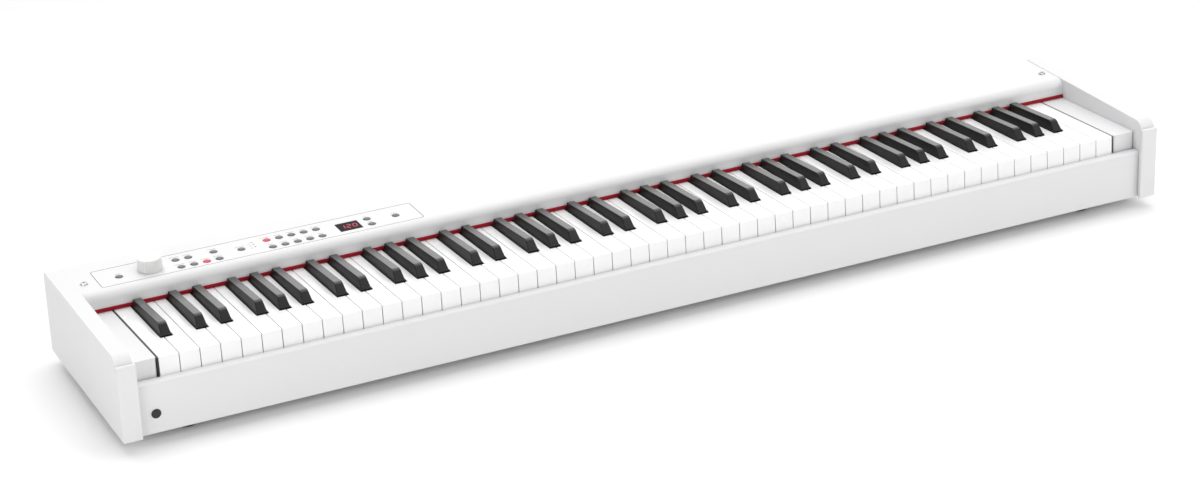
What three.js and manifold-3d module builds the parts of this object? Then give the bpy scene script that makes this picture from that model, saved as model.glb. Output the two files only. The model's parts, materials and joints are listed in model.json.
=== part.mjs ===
// Slim 88-key digital piano in a white case.
// Millimetres, +Z up, +X to the player's right, -Y towards the player. The origin is the
// middle of the footprint, at the underside of the feet.
// Case pieces are placed from the front edge (y) and the underside (z) of the case, and
// key pieces from the front edge (y) and the playing surface (z) of the white keys.
import * as THREE from "three";
import { mergeVertices } from "three/addons/utils/BufferGeometryUtils.js";
import Module from "manifold-3d";

const wasm = await Module();
wasm.setup();

// ---- Driving dimensions ----

const SEAM = 0.3; // gap between pieces that touch

// Keyboard
const WHITE_KEYS = 52;
const KEY_PITCH = 23.5;
const KEY_GAP = 1.0;
const KEY_SLOPE = 0.055; // radians, falling towards the back
const KEY_SHOWN = 153; // playing surface in front of the felt
const KEY_HEAD = 49.5; // full-width part of a white key
const KEY_HEAD_DEPTH = 24;
const KEY_STICK_DEPTH = 8;
const KEY_DIP = 10; // travel at the front edge
const BLACK_WIDTH = 13.4;
const BLACK_TOP_WIDTH = 9.6;
const BLACK_SIDE_GAP = 0.7;
const BLACK_FRONT_GAP = 2.6;
const BLACK_FRONT_LEAN = 11;
const BLACK_RISE_FRONT = 12.5;
const BLACK_RISE_BACK = 9;
const BLACK_DEPTH = 14;
const BLACK_STICK_WIDTH = 9;
const BLACK_STICK_DEPTH = 9.5;
const STICK_CLEARANCE = 2.5; // under the white keys' sticks
const KEY_BAR = 10; // length of the bar that joins a set of keys
const ROD_RADIUS = 2.5;
const ROD_CLEARANCE = 0.5;
const ROD_DROP = 8; // rod axis below the playing surface
const FRAME_SHEET = 3;
const FRAME_LEG = 8;
const FRAME_RAIL = 20;
const FRAME_SETBACK = 4; // behind the keys' fronts
const DIP_SPACE = 2.5; // left under a key that is fully down
const SENSOR_BOARD_DEPTH = 50;

// Case
const CHEEK_THICKNESS = 20;
const CHEEK_FRONT_RADIUS = 14;
const CHEEK_EDGE_RADIUS = 5;
const POST_DEPTH = 5;
const POST_STEP = 2; // the post laps over the front rail by this much
const POST_DROP = 8.5; // the post stops this far below the cheek's top
const BLOCK_WIDTH = 32.5; // key block and its side gap
const BLOCK_GAP = 2;
const BLOCK_SHELF = 46; // depth of the block's overhanging front part
const BLOCK_JACK_GAP = 6; // between the overhang and the headphone socket
const SLIP_SETBACK = 8;
const SLIP_RADIUS = 3;
const KEY_SETBACK = 20;
const KEY_FRONT_GAP = 0.8; // between the keys and the front rail
const KEY_RECESS = 16; // playing surface below the cheek's top
const KEYBED_SPACE = 8.5; // between the rear sockets and the shelf over them
const SHELF_GAP = 3; // between the shelf and the keys' sticks
const KEY_FRONT_SHOWN = 22;
const FOOT_HEIGHT = 15;
const FOOT_RADIUS = 14;
const FOOT_INSET_X = 83.5;
const FOOT_INSET_Y = 47;
const BOARD_THICKNESS = 12;

// Panels
const PANEL_DEPTH = 87; // from the lip to the back of the case
const TAIL_SPACE = 25; // between the keys' ends and the back of the case
const PANEL_DROP = 1; // below the cheek's top
const PANEL_THICKNESS = 3;
const LIP_RADIUS = 10;
const FELT_DEPTH = 3;
const FELT_HEIGHT = 4;
const FELT_LIFT = 1.2; // above the keys
const REAR_INSET = 1;
const REAR_THICKNESS = 5;

// Controls: x from the left cheek, y from the lip
const BUTTON_RADIUS = 4.3;
const BUTTON_RISE = 1.5;
const BUTTON_CLEARANCE = 0.4;
const BUTTON_TRAVEL = 1;
const WEB_THICKNESS = 1.2;
const WEB_MARGIN = 5;
const ROW_FRONT = 22;
const ROW_BACK = 43;
const BUTTON_PITCH = 15.1;
const KNOB_RADIUS = 14.4;
const KNOB_RISE = 14.5; // above the cheek's top
const KNOB_X = 88.5;
const KNOB_Y = 34;
const SHAFT_RADIUS = 3;
const DISPLAY_X = 328;
const DISPLAY_Y = 32.5;
const DISPLAY_WIDTH = 27;
const DISPLAY_DEPTH = 23;
const DISPLAY_THICKNESS = 4;
const SCREW_X = 10.7;
const SCREW_Y = 32;
const SCREW_HEAD_RADIUS = 4.5;
const SCREW_HEAD_HEIGHT = 1.8;
const SCREW_RADIUS = 2;
const SCREW_LENGTH = 14;

// Sockets: x from the left cheek
const JACK_X = 20.8;
const JACK_Z = 23.2;
const JACK_BORE = 3.3;
const JACK_NECK = 4.3;
const JACK_RING = 5.5;
const JACK_BODY = 6.5;
const JACK_DEPTH = 32;
const SOCKET_PLATE_WIDTH = 236; // the rear plate that carries the sockets
const MAIN_BOARD_X = 24;
const REAR_SOCKET_DEPTH = 34;
const REAR_SOCKET_HEIGHT = 22;
const REAR_NOSE = 5.5;
const DIN_NOSE = 8.2;
const DIN_BORE = 7;
const DIN_DEPTH = 10;
const DC_BORE = 3.2;
const DC_PIN = 1;
const DC_DEPTH = 11;
const BOARD_SHEET = 1.6; // printed circuit board

// ---- Derived dimensions, in the case's own frame ----

const INNER_WIDTH = WHITE_KEYS * KEY_PITCH + 2 * BLOCK_WIDTH;
const INNER = INNER_WIDTH / 2;
const OUTER = INNER + CHEEK_THICKNESS;
const INSIDE = INNER - SEAM;
const LIP_Y = KEY_SETBACK + KEY_SHOWN + FELT_DEPTH;
const DEPTH = LIP_Y + PANEL_DEPTH;
const KEY_LENGTH = KEY_SHOWN + PANEL_DEPTH - TAIL_SPACE;
const ROD_Y = KEY_LENGTH + ROD_RADIUS + ROD_CLEARANCE;
const STICK_TOP = -KEY_STICK_DEPTH - STICK_CLEARANCE; // black keys' sticks, in the keys' frame
const STICK_BOTTOM = STICK_TOP - BLACK_STICK_DEPTH;
const FRAME_BOTTOM = BOARD_THICKNESS + SEAM;
const SOCKET_BOTTOM = FRAME_BOTTOM + BOARD_SHEET + SEAM;
const SHELF_TOP = SOCKET_BOTTOM + REAR_SOCKET_HEIGHT + KEYBED_SPACE + FRAME_SHEET;
const KEY_TOP = SHELF_TOP + SHELF_GAP - STICK_BOTTOM * Math.cos(KEY_SLOPE)
  + KEY_LENGTH * Math.sin(KEY_SLOPE);
const CASE_HEIGHT = KEY_TOP + KEY_RECESS;
const SLIP_TOP = KEY_TOP - KEY_FRONT_SHOWN;
const SLIP_BACK = KEY_SETBACK - KEY_HEAD_DEPTH * Math.sin(KEY_SLOPE) - KEY_FRONT_GAP;
const PANEL_TOP = CASE_HEIGHT - PANEL_DROP;
const PANEL_UNDER = PANEL_TOP - PANEL_THICKNESS;
const WEB_TOP = PANEL_UNDER - 5;
const PANEL_BOARD_TOP = WEB_TOP - WEB_THICKNESS - BUTTON_TRAVEL - 1.5;
const REAR_FACE = DEPTH - REAR_INSET;
const REAR_INSIDE = REAR_FACE - REAR_THICKNESS;
const FRONT_RAIL_TOP = KEY_TOP - KEY_HEAD_DEPTH - KEY_DIP - DIP_SPACE;
const CASE_LEFT = -INNER;

/** A point of the keyboard's frame, as [y, z] in the case's frame. */
function fromKeys(y, z) {
  const cos = Math.cos(KEY_SLOPE);
  const sin = Math.sin(KEY_SLOPE);
  return [KEY_SETBACK + y * cos + z * sin, KEY_TOP - y * sin + z * cos];
}

const [ROD_CASE_Y, ROD_CASE_Z] = fromKeys(ROD_Y, -ROD_DROP);
const FELT_BOTTOM = fromKeys(KEY_SHOWN, 0)[1] + FELT_LIFT;
const LIP_BOTTOM = FELT_BOTTOM + FELT_HEIGHT + SEAM;

// ---- Materials ----

const paint = (color, roughness, metalness = 0) =>
  new THREE.MeshStandardMaterial({ color, roughness, metalness });

const MATERIALS = {
  body: paint(0xf1f0f2, 0.45),
  whiteKey: paint(0xf7f6f5, 0.2),
  blackKey: paint(0x34342f, 0.5),
  felt: paint(0xb3121c, 0.95),
  rubber: paint(0x2c2c2e, 0.85),
  knob: paint(0xe9e9ea, 0.35),
  button: paint(0x9a9c9f, 0.45),
  display: paint(0x1b0508, 0.1),
  socket: paint(0x17171a, 0.4),
  steel: paint(0xc3c5c8, 0.3, 1),
  board: paint(0x1f5a35, 0.6),
  chassis: paint(0x8d8f92, 0.5, 0.8),
};

// ---- Shape helpers ----

/** A closed three.js geometry as a solid that can be joined and cut. */
function solid(geometry) {
  const bare = geometry.index ? geometry.toNonIndexed() : geometry.clone();
  bare.deleteAttribute("normal");
  bare.deleteAttribute("uv");
  const merged = mergeVertices(bare, 1e-4);
  return new wasm.Manifold(new wasm.Mesh({
    numProp: 3,
    vertProperties: new Float32Array(merged.attributes.position.array),
    triVerts: new Uint32Array(merged.index.array),
  }));
}

/** A solid as a three.js geometry. */
function geometryOf(body) {
  const mesh = body.getMesh();
  const geometry = new THREE.BufferGeometry();
  geometry.setAttribute("position", new THREE.BufferAttribute(mesh.vertProperties, 3));
  geometry.setIndex(new THREE.BufferAttribute(mesh.triVerts, 1));
  geometry.computeVertexNormals();
  return geometry;
}

const join = (pieces) => pieces.map(solid).reduce((whole, piece) => whole.add(piece));

/** The first geometry with every cutter taken out of it. */
function carve(whole, cutters) {
  return geometryOf(cutters.map(solid).reduce((left, cutter) => left.subtract(cutter), whole));
}

function block(x0, x1, y0, y1, z0, z1) {
  const geometry = new THREE.BoxGeometry(x1 - x0, y1 - y0, z1 - z0);
  return geometry.translate((x0 + x1) / 2, (y0 + y1) / 2, (z0 + z1) / 2);
}

/** A [y, z] outline drawn out along X. */
function alongX(outline, x0, x1) {
  const shape = outline instanceof THREE.Shape
    ? outline
    : new THREE.Shape(outline.map(([y, z]) => new THREE.Vector2(y, z)));
  const geometry = new THREE.ExtrudeGeometry(shape, {
    depth: x1 - x0,
    bevelEnabled: false,
    curveSegments: 6,
  });
  const turn = new THREE.Matrix4().set(0, 0, 1, x0, 1, 0, 0, 0, 0, 1, 0, 0, 0, 0, 0, 1);
  return geometry.applyMatrix4(turn);
}

/** A round piece on an upright axis, from [radius, z] points. */
function upright(x, y, profile, sides = 24) {
  const points = profile.map(([r, z]) => new THREE.Vector2(r, z));
  const geometry = new THREE.LatheGeometry(points, sides);
  return geometry.rotateX(Math.PI / 2).translate(x, y, 0);
}

/** A cylinder along Y. */
function barrel(x, z, radius, y0, y1, sides = 24) {
  const geometry = new THREE.CylinderGeometry(radius, radius, y1 - y0, sides);
  return geometry.translate(x, (y0 + y1) / 2, z);
}

/** A cylinder along Z. */
function post(x, y, radius, z0, z1, sides = 24) {
  const geometry = new THREE.CylinderGeometry(radius, radius, z1 - z0, sides);
  return geometry.rotateX(Math.PI / 2).translate(x, y, (z0 + z1) / 2);
}

const piano = new THREE.Group();
const caseFrame = new THREE.Group();
const keyFrame = new THREE.Group();
caseFrame.position.set(0, -DEPTH / 2, FOOT_HEIGHT);
keyFrame.position.set(0, KEY_SETBACK, KEY_TOP);
keyFrame.rotation.x = -KEY_SLOPE;
piano.add(caseFrame);
caseFrame.add(keyFrame);

function add(name, geometry, material, frame = caseFrame) {
  const mesh = new THREE.Mesh(geometry, material);
  mesh.name = name;
  frame.add(mesh);
}

// ---- Case ----

/** Side outline of a cheek: rounded at the front top and a little at the back. */
function cheekOutline() {
  const front = POST_DEPTH;
  const outline = new THREE.Shape();
  outline.moveTo(front, 0);
  outline.lineTo(DEPTH - CHEEK_EDGE_RADIUS, 0);
  outline.absarc(DEPTH - CHEEK_EDGE_RADIUS, CHEEK_EDGE_RADIUS, CHEEK_EDGE_RADIUS, -Math.PI / 2, 0);
  outline.lineTo(DEPTH, CASE_HEIGHT - CHEEK_EDGE_RADIUS);
  outline.absarc(DEPTH - CHEEK_EDGE_RADIUS, CASE_HEIGHT - CHEEK_EDGE_RADIUS, CHEEK_EDGE_RADIUS,
    0, Math.PI / 2);
  outline.lineTo(front + CHEEK_FRONT_RADIUS, CASE_HEIGHT);
  outline.absarc(front + CHEEK_FRONT_RADIUS, CASE_HEIGHT - CHEEK_FRONT_RADIUS, CHEEK_FRONT_RADIUS,
    Math.PI / 2, Math.PI);
  outline.closePath();
  return outline;
}

function addCheeks() {
  add("left_cheek", alongX(cheekOutline(), -OUTER, -INNER), MATERIALS.body);
  add("right_cheek", alongX(cheekOutline(), INNER, OUTER), MATERIALS.body);
  const post = (x0, x1) => block(x0, x1, 0, POST_DEPTH - SEAM, 0, CASE_HEIGHT - POST_DROP);
  add("left_corner_post", post(-OUTER, -INNER + POST_STEP), MATERIALS.body);
  add("right_corner_post", post(INNER - POST_STEP, OUTER), MATERIALS.body);
}

function addBottomBoard() {
  const board = block(-INSIDE, INSIDE, SLIP_BACK + SEAM, REAR_FACE, 0, BOARD_THICKNESS);
  add("bottom_board", board, MATERIALS.body);
}

function addFeet() {
  const x = OUTER - FOOT_INSET_X;
  const profile = [
    [0, -FOOT_HEIGHT],
    [FOOT_RADIUS - 1.5, -FOOT_HEIGHT],
    [FOOT_RADIUS, -FOOT_HEIGHT + 1.5],
    [FOOT_RADIUS, -SEAM],
    [0, -SEAM],
  ];
  for (const [side, sign] of [["left", -1], ["right", 1]]) {
    for (const [end, y] of [["front", FOOT_INSET_Y], ["rear", DEPTH - FOOT_INSET_Y]]) {
      add(`${end}_${side}_foot`, upright(sign * x, y, profile, 32), MATERIALS.rubber);
    }
  }
}

/** The front rail, with a rounded top edge and a hole for the headphone socket. */
function addKeySlip() {
  const outline = new THREE.Shape();
  outline.moveTo(SLIP_SETBACK, 0);
  outline.lineTo(SLIP_BACK, 0);
  outline.lineTo(SLIP_BACK, SLIP_TOP);
  outline.lineTo(SLIP_SETBACK + SLIP_RADIUS, SLIP_TOP);
  outline.absarc(SLIP_SETBACK + SLIP_RADIUS, SLIP_TOP - SLIP_RADIUS, SLIP_RADIUS,
    Math.PI / 2, Math.PI);
  outline.closePath();
  const rail = solid(alongX(outline, -INSIDE, INSIDE));
  const hole = barrel(CASE_LEFT + JACK_X, JACK_Z, JACK_NECK + SEAM, SLIP_SETBACK - 1, SLIP_BACK + 1);
  add("key_slip", carve(rail, [hole]), MATERIALS.body);
}

/** Blocks that fill the ends of the keyboard, cut away below for the headphone socket. */
function addKeyBlocks() {
  const back = KEY_SHOWN - SEAM;
  const shelf = JACK_Z + JACK_BODY + BLOCK_JACK_GAP;
  const outline = [
    [KEY_SETBACK, shelf],
    [KEY_SETBACK, KEY_TOP],
    fromKeys(back, 0),
    [fromKeys(back, 0)[0], FRAME_BOTTOM],
    [KEY_SETBACK + BLOCK_SHELF, FRAME_BOTTOM],
    [KEY_SETBACK + BLOCK_SHELF, shelf],
  ];
  const edge = (WHITE_KEYS * KEY_PITCH) / 2 + BLOCK_GAP;
  add("left_key_block", alongX(outline, -INSIDE, -edge), MATERIALS.body);
  add("right_key_block", alongX(outline, edge, INSIDE), MATERIALS.body);
}

/** Every button: the set it is moulded with, and its place on the panel. */
const BUTTON_SETS = {
  power_button: [[51.5, 32]],
  function_buttons: [
    ...[0, 1, 2, 3].map((i) => [121.5 + i * BUTTON_PITCH, ROW_FRONT]),
    ...[0, 1, 3].map((i) => [121.5 + i * BUTTON_PITCH, ROW_BACK]),
    [197, 33.5],
  ],
  tone_buttons: [0, 1, 2, 3, 4].flatMap((i) => [
    [231 + i * BUTTON_PITCH, ROW_FRONT],
    [231 + i * BUTTON_PITCH, ROW_BACK],
  ]),
  value_buttons: [[353.8, 25], [353.8, 41]],
  record_button: [[386.8, 33.7]],
};

/** The top panel: a sheet with a rounded lip, and openings for the controls. */
function addTopPanel() {
  const inside = LIP_RADIUS - PANEL_THICKNESS;
  const outline = new THREE.Shape();
  outline.moveTo(LIP_Y, LIP_BOTTOM);
  outline.lineTo(LIP_Y + PANEL_THICKNESS, LIP_BOTTOM);
  outline.lineTo(LIP_Y + PANEL_THICKNESS, PANEL_TOP - LIP_RADIUS);
  outline.absarc(LIP_Y + LIP_RADIUS, PANEL_TOP - LIP_RADIUS, inside, Math.PI, Math.PI / 2, true);
  outline.lineTo(REAR_FACE, PANEL_UNDER);
  outline.lineTo(REAR_FACE, PANEL_TOP);
  outline.lineTo(LIP_Y + LIP_RADIUS, PANEL_TOP);
  outline.absarc(LIP_Y + LIP_RADIUS, PANEL_TOP - LIP_RADIUS, LIP_RADIUS, Math.PI / 2, Math.PI);
  outline.closePath();
  const low = PANEL_UNDER - 1;
  const high = PANEL_TOP + 1;
  const hole = (x, y, radius, sides) =>
    post(CASE_LEFT + x, LIP_Y + y, radius, low, high, sides);
  const holes = Object.values(BUTTON_SETS).flat()
    .map(([x, y]) => hole(x, y, BUTTON_RADIUS + BUTTON_CLEARANCE, 12));
  holes.push(hole(KNOB_X, KNOB_Y, SHAFT_RADIUS + BUTTON_CLEARANCE, 16));
  for (const x of [SCREW_X, INNER_WIDTH - SCREW_X]) {
    holes.push(hole(x, SCREW_Y, SCREW_RADIUS + SEAM, 12));
  }
  holes.push(displayBlock(SEAM, low, high));
  add("top_panel", carve(solid(alongX(outline, -INSIDE, INSIDE)), holes), MATERIALS.body);
}

/** The display's outline, grown by a margin. */
function displayBlock(margin, z0, z1) {
  const x = CASE_LEFT + DISPLAY_X;
  const y = LIP_Y + DISPLAY_Y;
  const halfX = DISPLAY_WIDTH / 2 + margin;
  const halfY = DISPLAY_DEPTH / 2 + margin;
  return block(x - halfX, x + halfX, y - halfY, y + halfY, z0, z1);
}

function addFelt() {
  const front = LIP_Y - FELT_DEPTH + SEAM;
  const strip = block(-INSIDE, INSIDE, front, LIP_Y - SEAM, FELT_BOTTOM, FELT_BOTTOM + FELT_HEIGHT);
  add("felt_strip", strip, MATERIALS.felt);
}

// ---- Controls ----

function addButtons() {
  const top = PANEL_TOP + BUTTON_RISE;
  const profile = [
    [0, WEB_TOP - WEB_THICKNESS / 2],
    [BUTTON_RADIUS, WEB_TOP - WEB_THICKNESS / 2],
    [BUTTON_RADIUS, top - 0.9],
    [BUTTON_RADIUS * 0.72, top - 0.25],
    [0, top],
  ];
  for (const [name, places] of Object.entries(BUTTON_SETS)) {
    const xs = places.map(([x]) => CASE_LEFT + x);
    const ys = places.map(([, y]) => LIP_Y + y);
    const web = block(
      Math.min(...xs) - WEB_MARGIN, Math.max(...xs) + WEB_MARGIN,
      Math.min(...ys) - WEB_MARGIN, Math.max(...ys) + WEB_MARGIN,
      WEB_TOP - WEB_THICKNESS, WEB_TOP,
    );
    const caps = xs.map((x, i) => upright(x, ys[i], profile, 12));
    add(name, geometryOf(join([web, ...caps])), MATERIALS.button);
  }
}

function addKnob() {
  const x = CASE_LEFT + KNOB_X;
  const y = LIP_Y + KNOB_Y;
  const bottom = PANEL_TOP + SEAM;
  const top = CASE_HEIGHT + KNOB_RISE;
  const tip = PANEL_UNDER - 2;
  add("volume_knob", upright(x, y, [
    [0, tip],
    [SHAFT_RADIUS, tip],
    [SHAFT_RADIUS, bottom],
    [KNOB_RADIUS, bottom],
    [KNOB_RADIUS - 0.8, top - 1.2],
    [KNOB_RADIUS - 2, top],
    [0, top],
  ], 32), MATERIALS.knob);
  const half = 8;
  const low = PANEL_BOARD_TOP + SEAM;
  add("volume_potentiometer", block(x - half, x + half, y - half, y + half, low, tip - SEAM),
    MATERIALS.steel);
}

function addDisplay() {
  add("display_window", displayBlock(0, PANEL_TOP - DISPLAY_THICKNESS, PANEL_TOP - 0.1),
    MATERIALS.display);
}

function addScrews() {
  const seat = PANEL_TOP + SEAM;
  const profile = [
    [0, seat - SCREW_LENGTH],
    [SCREW_RADIUS, seat - SCREW_LENGTH],
    [SCREW_RADIUS, seat],
    [SCREW_HEAD_RADIUS, seat],
    [SCREW_HEAD_RADIUS * 0.8, seat + SCREW_HEAD_HEIGHT * 0.7],
    [0, seat + SCREW_HEAD_HEIGHT],
  ];
  for (const [side, sign] of [["left", -1], ["right", 1]]) {
    const x = sign * (INNER - SCREW_X);
    add(`${side}_panel_screw`, upright(x, LIP_Y + SCREW_Y, profile, 16), MATERIALS.steel);
  }
}

// ---- Electronics and sockets ----

function addBoards() {
  const x0 = CASE_LEFT + 40;
  add("panel_board", block(x0, x0 + 360, LIP_Y + 12, LIP_Y + 58,
    PANEL_BOARD_TOP - BOARD_SHEET, PANEL_BOARD_TOP), MATERIALS.board);
  const y1 = REAR_INSIDE - SEAM;
  add("main_board", block(CASE_LEFT + MAIN_BOARD_X, CASE_LEFT + SOCKET_PLATE_WIDTH,
    y1 - REAR_SOCKET_DEPTH - 4, y1, FRAME_BOTTOM, FRAME_BOTTOM + BOARD_SHEET), MATERIALS.board);
}

/** The headphone socket: a ring outside the front rail, a neck through it, a body behind. */
function addHeadphoneJack() {
  const x = CASE_LEFT + JACK_X;
  const back = SLIP_BACK + SEAM;
  const ring = barrel(x, JACK_Z, JACK_RING, SLIP_SETBACK - 1.2, SLIP_SETBACK - SEAM);
  const neck = barrel(x, JACK_Z, JACK_NECK, SLIP_SETBACK - 1, back + 1);
  const body = barrel(x, JACK_Z, JACK_BODY, back, SLIP_SETBACK + JACK_DEPTH);
  const bore = barrel(x, JACK_Z, JACK_BORE, SLIP_SETBACK - 3, SLIP_SETBACK + JACK_DEPTH - 3);
  add("headphone_jack", carve(join([ring, neck, body]), [bore]), MATERIALS.socket);
}

const REAR_SOCKET_Z = SOCKET_BOTTOM + REAR_SOCKET_HEIGHT / 2;

/** Rear sockets, each a block with one round nose per plug. */
const REAR_SOCKETS = [
  { name: "midi_sockets", xs: [46, 74], nose: DIN_NOSE, bore: DIN_BORE, depth: DIN_DEPTH },
  { name: "line_output_jacks", xs: [108, 130], nose: REAR_NOSE, bore: JACK_BORE, depth: 29 },
  { name: "pedal_jack", xs: [166], nose: REAR_NOSE, bore: JACK_BORE, depth: 29 },
  { name: "power_inlet", xs: [206], nose: REAR_NOSE, bore: DC_BORE, depth: DC_DEPTH, pin: DC_PIN },
];

function addRearSockets() {
  const back = REAR_INSIDE - SEAM;
  for (const { name, xs, nose, bore, depth, pin } of REAR_SOCKETS) {
    const places = xs.map((x) => CASE_LEFT + x);
    const reach = Math.max(nose, REAR_SOCKET_HEIGHT / 2) + 1;
    const body = block(places[0] - reach, places.at(-1) + reach, back - REAR_SOCKET_DEPTH, back,
      SOCKET_BOTTOM, SOCKET_BOTTOM + REAR_SOCKET_HEIGHT);
    const noses = places.map((x) => barrel(x, REAR_SOCKET_Z, nose, back - 1, REAR_FACE));
    const bores = places.map((x) =>
      barrel(x, REAR_SOCKET_Z, bore, REAR_FACE - depth, REAR_FACE + 1));
    let whole = bores.map(solid).reduce((left, cut) => left.subtract(cut), join([body, ...noses]));
    if (pin) {
      const rod = barrel(places[0], REAR_SOCKET_Z, pin, REAR_FACE - depth - 1, REAR_FACE - 2, 12);
      whole = whole.add(solid(rod));
    }
    add(name, geometryOf(whole), MATERIALS.socket);
  }
}

/** The rear panel, and beside it the short plate with a hole for each socket. */
function addRearPanels() {
  const sheet = (x0, x1) =>
    block(x0, x1, REAR_INSIDE, REAR_FACE, FRAME_BOTTOM, PANEL_UNDER - SEAM);
  const plateEnd = CASE_LEFT + SOCKET_PLATE_WIDTH;
  const holes = REAR_SOCKETS.flatMap(({ xs, nose }) => xs.map((x) =>
    barrel(CASE_LEFT + x, REAR_SOCKET_Z, nose + SEAM, REAR_INSIDE - 1, REAR_FACE + 1)));
  add("socket_plate", carve(solid(sheet(-INSIDE, plateEnd)), holes), MATERIALS.body);
  add("rear_panel", sheet(plateEnd + SEAM, INSIDE), MATERIALS.body);
}

// ---- Key mechanism ----

/** The steel frame under the keys: front rail, floor, and a shelf that backs the hinge rod. */
function addKeyFrame() {
  const front = KEY_SETBACK + FRAME_SETBACK;
  const railBack = front + FRAME_RAIL;
  const legBack = REAR_INSIDE - REAR_SOCKET_DEPTH - FRAME_LEG;
  const legFront = legBack - FRAME_LEG;
  const rodBack = ROD_CASE_Y + ROD_RADIUS + SEAM;
  const rodStop = rodBack + FRAME_LEG;
  const stopTop = ROD_CASE_Z + FRAME_LEG;
  const floor = FRAME_BOTTOM + FRAME_SHEET;
  const outline = [
    [front, FRAME_BOTTOM],
    [legBack, FRAME_BOTTOM],
    [legBack, SHELF_TOP - FRAME_SHEET],
    [rodStop, SHELF_TOP - FRAME_SHEET],
    [rodStop, stopTop],
    [rodBack, stopTop],
    [rodBack, SHELF_TOP],
    [legFront, SHELF_TOP],
    [legFront, floor],
    [railBack, floor],
    [railBack, FRONT_RAIL_TOP],
    [front, FRONT_RAIL_TOP],
  ];
  const end = (WHITE_KEYS * KEY_PITCH) / 2;
  add("key_frame", alongX(outline, -end, end), MATERIALS.chassis);
  const rod = new THREE.CylinderGeometry(ROD_RADIUS, ROD_RADIUS, 2 * end, 16);
  rod.rotateZ(Math.PI / 2).translate(0, ROD_CASE_Y, ROD_CASE_Z);
  add("key_hinge_rod", rod, MATERIALS.steel);
  const low = floor + SEAM;
  const middle = (railBack + legFront) / 2;
  const half = SENSOR_BOARD_DEPTH / 2;
  add("key_sensor_board", block(-end + KEY_GAP, end - KEY_GAP, middle - half, middle + half,
    low, low + BOARD_SHEET), MATERIALS.board);
}

// ---- Keys ----

const LETTERS = ["a", "b", "c", "d", "e", "f", "g"];
const BLACK_SHIFT = { a: 3.2, c: -2.6, d: 2.4, f: -3.3, g: 0 }; // from the gap between whites
const letterOf = (i) => LETTERS[i % 7];
const octaveOf = (i) => Math.floor((i + 5) / 7);
const keyEdge = (i) => (i - WHITE_KEYS / 2) * KEY_PITCH;
const hasBlack = (i) => i >= 0 && i < WHITE_KEYS - 1 && letterOf(i) in BLACK_SHIFT;
const blackCentre = (i) => keyEdge(i + 1) + BLACK_SHIFT[letterOf(i)];

/** The blocks of white key i: a deep head and a stick that passes the black keys. */
function whiteKey(i) {
  const half = BLACK_WIDTH / 2 + BLACK_SIDE_GAP;
  const left = keyEdge(i) + KEY_GAP / 2;
  const right = keyEdge(i + 1) - KEY_GAP / 2;
  const stickLeft = hasBlack(i - 1) ? blackCentre(i - 1) + half : left;
  const stickRight = hasBlack(i) ? blackCentre(i) - half : right;
  return [
    block(left, right, 0, KEY_HEAD, -KEY_HEAD_DEPTH, 0),
    block(stickLeft, stickRight, KEY_HEAD / 2, KEY_LENGTH, -KEY_STICK_DEPTH, 0),
  ];
}

/** A black key's cap: leaning front, narrower top, falling towards the back. */
function blackCap(x) {
  const geometry = new THREE.BoxGeometry(2, 2, 2);
  const corners = geometry.attributes.position;
  const front = KEY_HEAD + BLACK_FRONT_GAP;
  for (let i = 0; i < corners.count; i += 1) {
    const high = corners.getZ(i) > 0;
    const back = corners.getY(i) > 0;
    const half = (high ? BLACK_TOP_WIDTH : BLACK_WIDTH) / 2;
    const rise = back ? BLACK_RISE_BACK : BLACK_RISE_FRONT;
    const lean = high ? BLACK_FRONT_LEAN : 0;
    corners.setXYZ(
      i,
      x + Math.sign(corners.getX(i)) * half,
      back ? KEY_SHOWN - 1 : front + lean,
      high ? rise : -0.5,
    );
  }
  return geometry;
}

/** The blocks of the black key that follows white key i. */
function blackKey(i) {
  const x = blackCentre(i);
  const front = KEY_HEAD + BLACK_FRONT_GAP;
  const half = BLACK_WIDTH / 2;
  const narrow = BLACK_STICK_WIDTH / 2;
  return [
    blackCap(x),
    block(x - half, x + half, front, KEY_SHOWN - 1, -BLACK_DEPTH, 0),
    block(x - narrow, x + narrow, KEY_SHOWN - 12, KEY_LENGTH, STICK_BOTTOM, STICK_TOP),
  ];
}

/** Sets of white keys, first to last; a set that is split has one piece for each key. */
const KEY_SETS = [
  { first: 0, last: 8 },
  { first: 9, last: 15 },
  { first: 16, last: 22 },
  { first: 23, last: 29, split: true },
  { first: 30, last: 36 },
  { first: 37, last: 43 },
  { first: 44, last: 51 },
];

const noteOf = (i) => `${letterOf(i)}${octaveOf(i)}`;

function addKeys() {
  const bar0 = KEY_LENGTH - KEY_BAR;
  for (const { first, last, split } of KEY_SETS) {
    const whites = Array.from({ length: last - first + 1 }, (unused, n) => first + n);
    const blacks = whites.filter(hasBlack);
    if (split) {
      for (const i of whites) {
        add(`white_key_${noteOf(i)}`, geometryOf(join(whiteKey(i))), MATERIALS.whiteKey, keyFrame);
      }
      for (const i of blacks) {
        const name = `black_key_${letterOf(i)}_sharp_${octaveOf(i)}`;
        add(name, geometryOf(join(blackKey(i))), MATERIALS.blackKey, keyFrame);
      }
      continue;
    }
    const span = `${noteOf(first)}_${noteOf(last)}`;
    const whiteBar = block(keyEdge(first) + KEY_GAP / 2, keyEdge(last + 1) - KEY_GAP / 2,
      bar0, KEY_LENGTH, -KEY_STICK_DEPTH, 0);
    add(`white_keys_${span}`, geometryOf(join([...whites.flatMap(whiteKey), whiteBar])),
      MATERIALS.whiteKey, keyFrame);
    const blackBar = block(blackCentre(blacks[0]), blackCentre(blacks.at(-1)),
      bar0, KEY_LENGTH, STICK_BOTTOM, STICK_TOP);
    add(`black_keys_${span}`, geometryOf(join([...blacks.flatMap(blackKey), blackBar])),
      MATERIALS.blackKey, keyFrame);
  }
}

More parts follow.
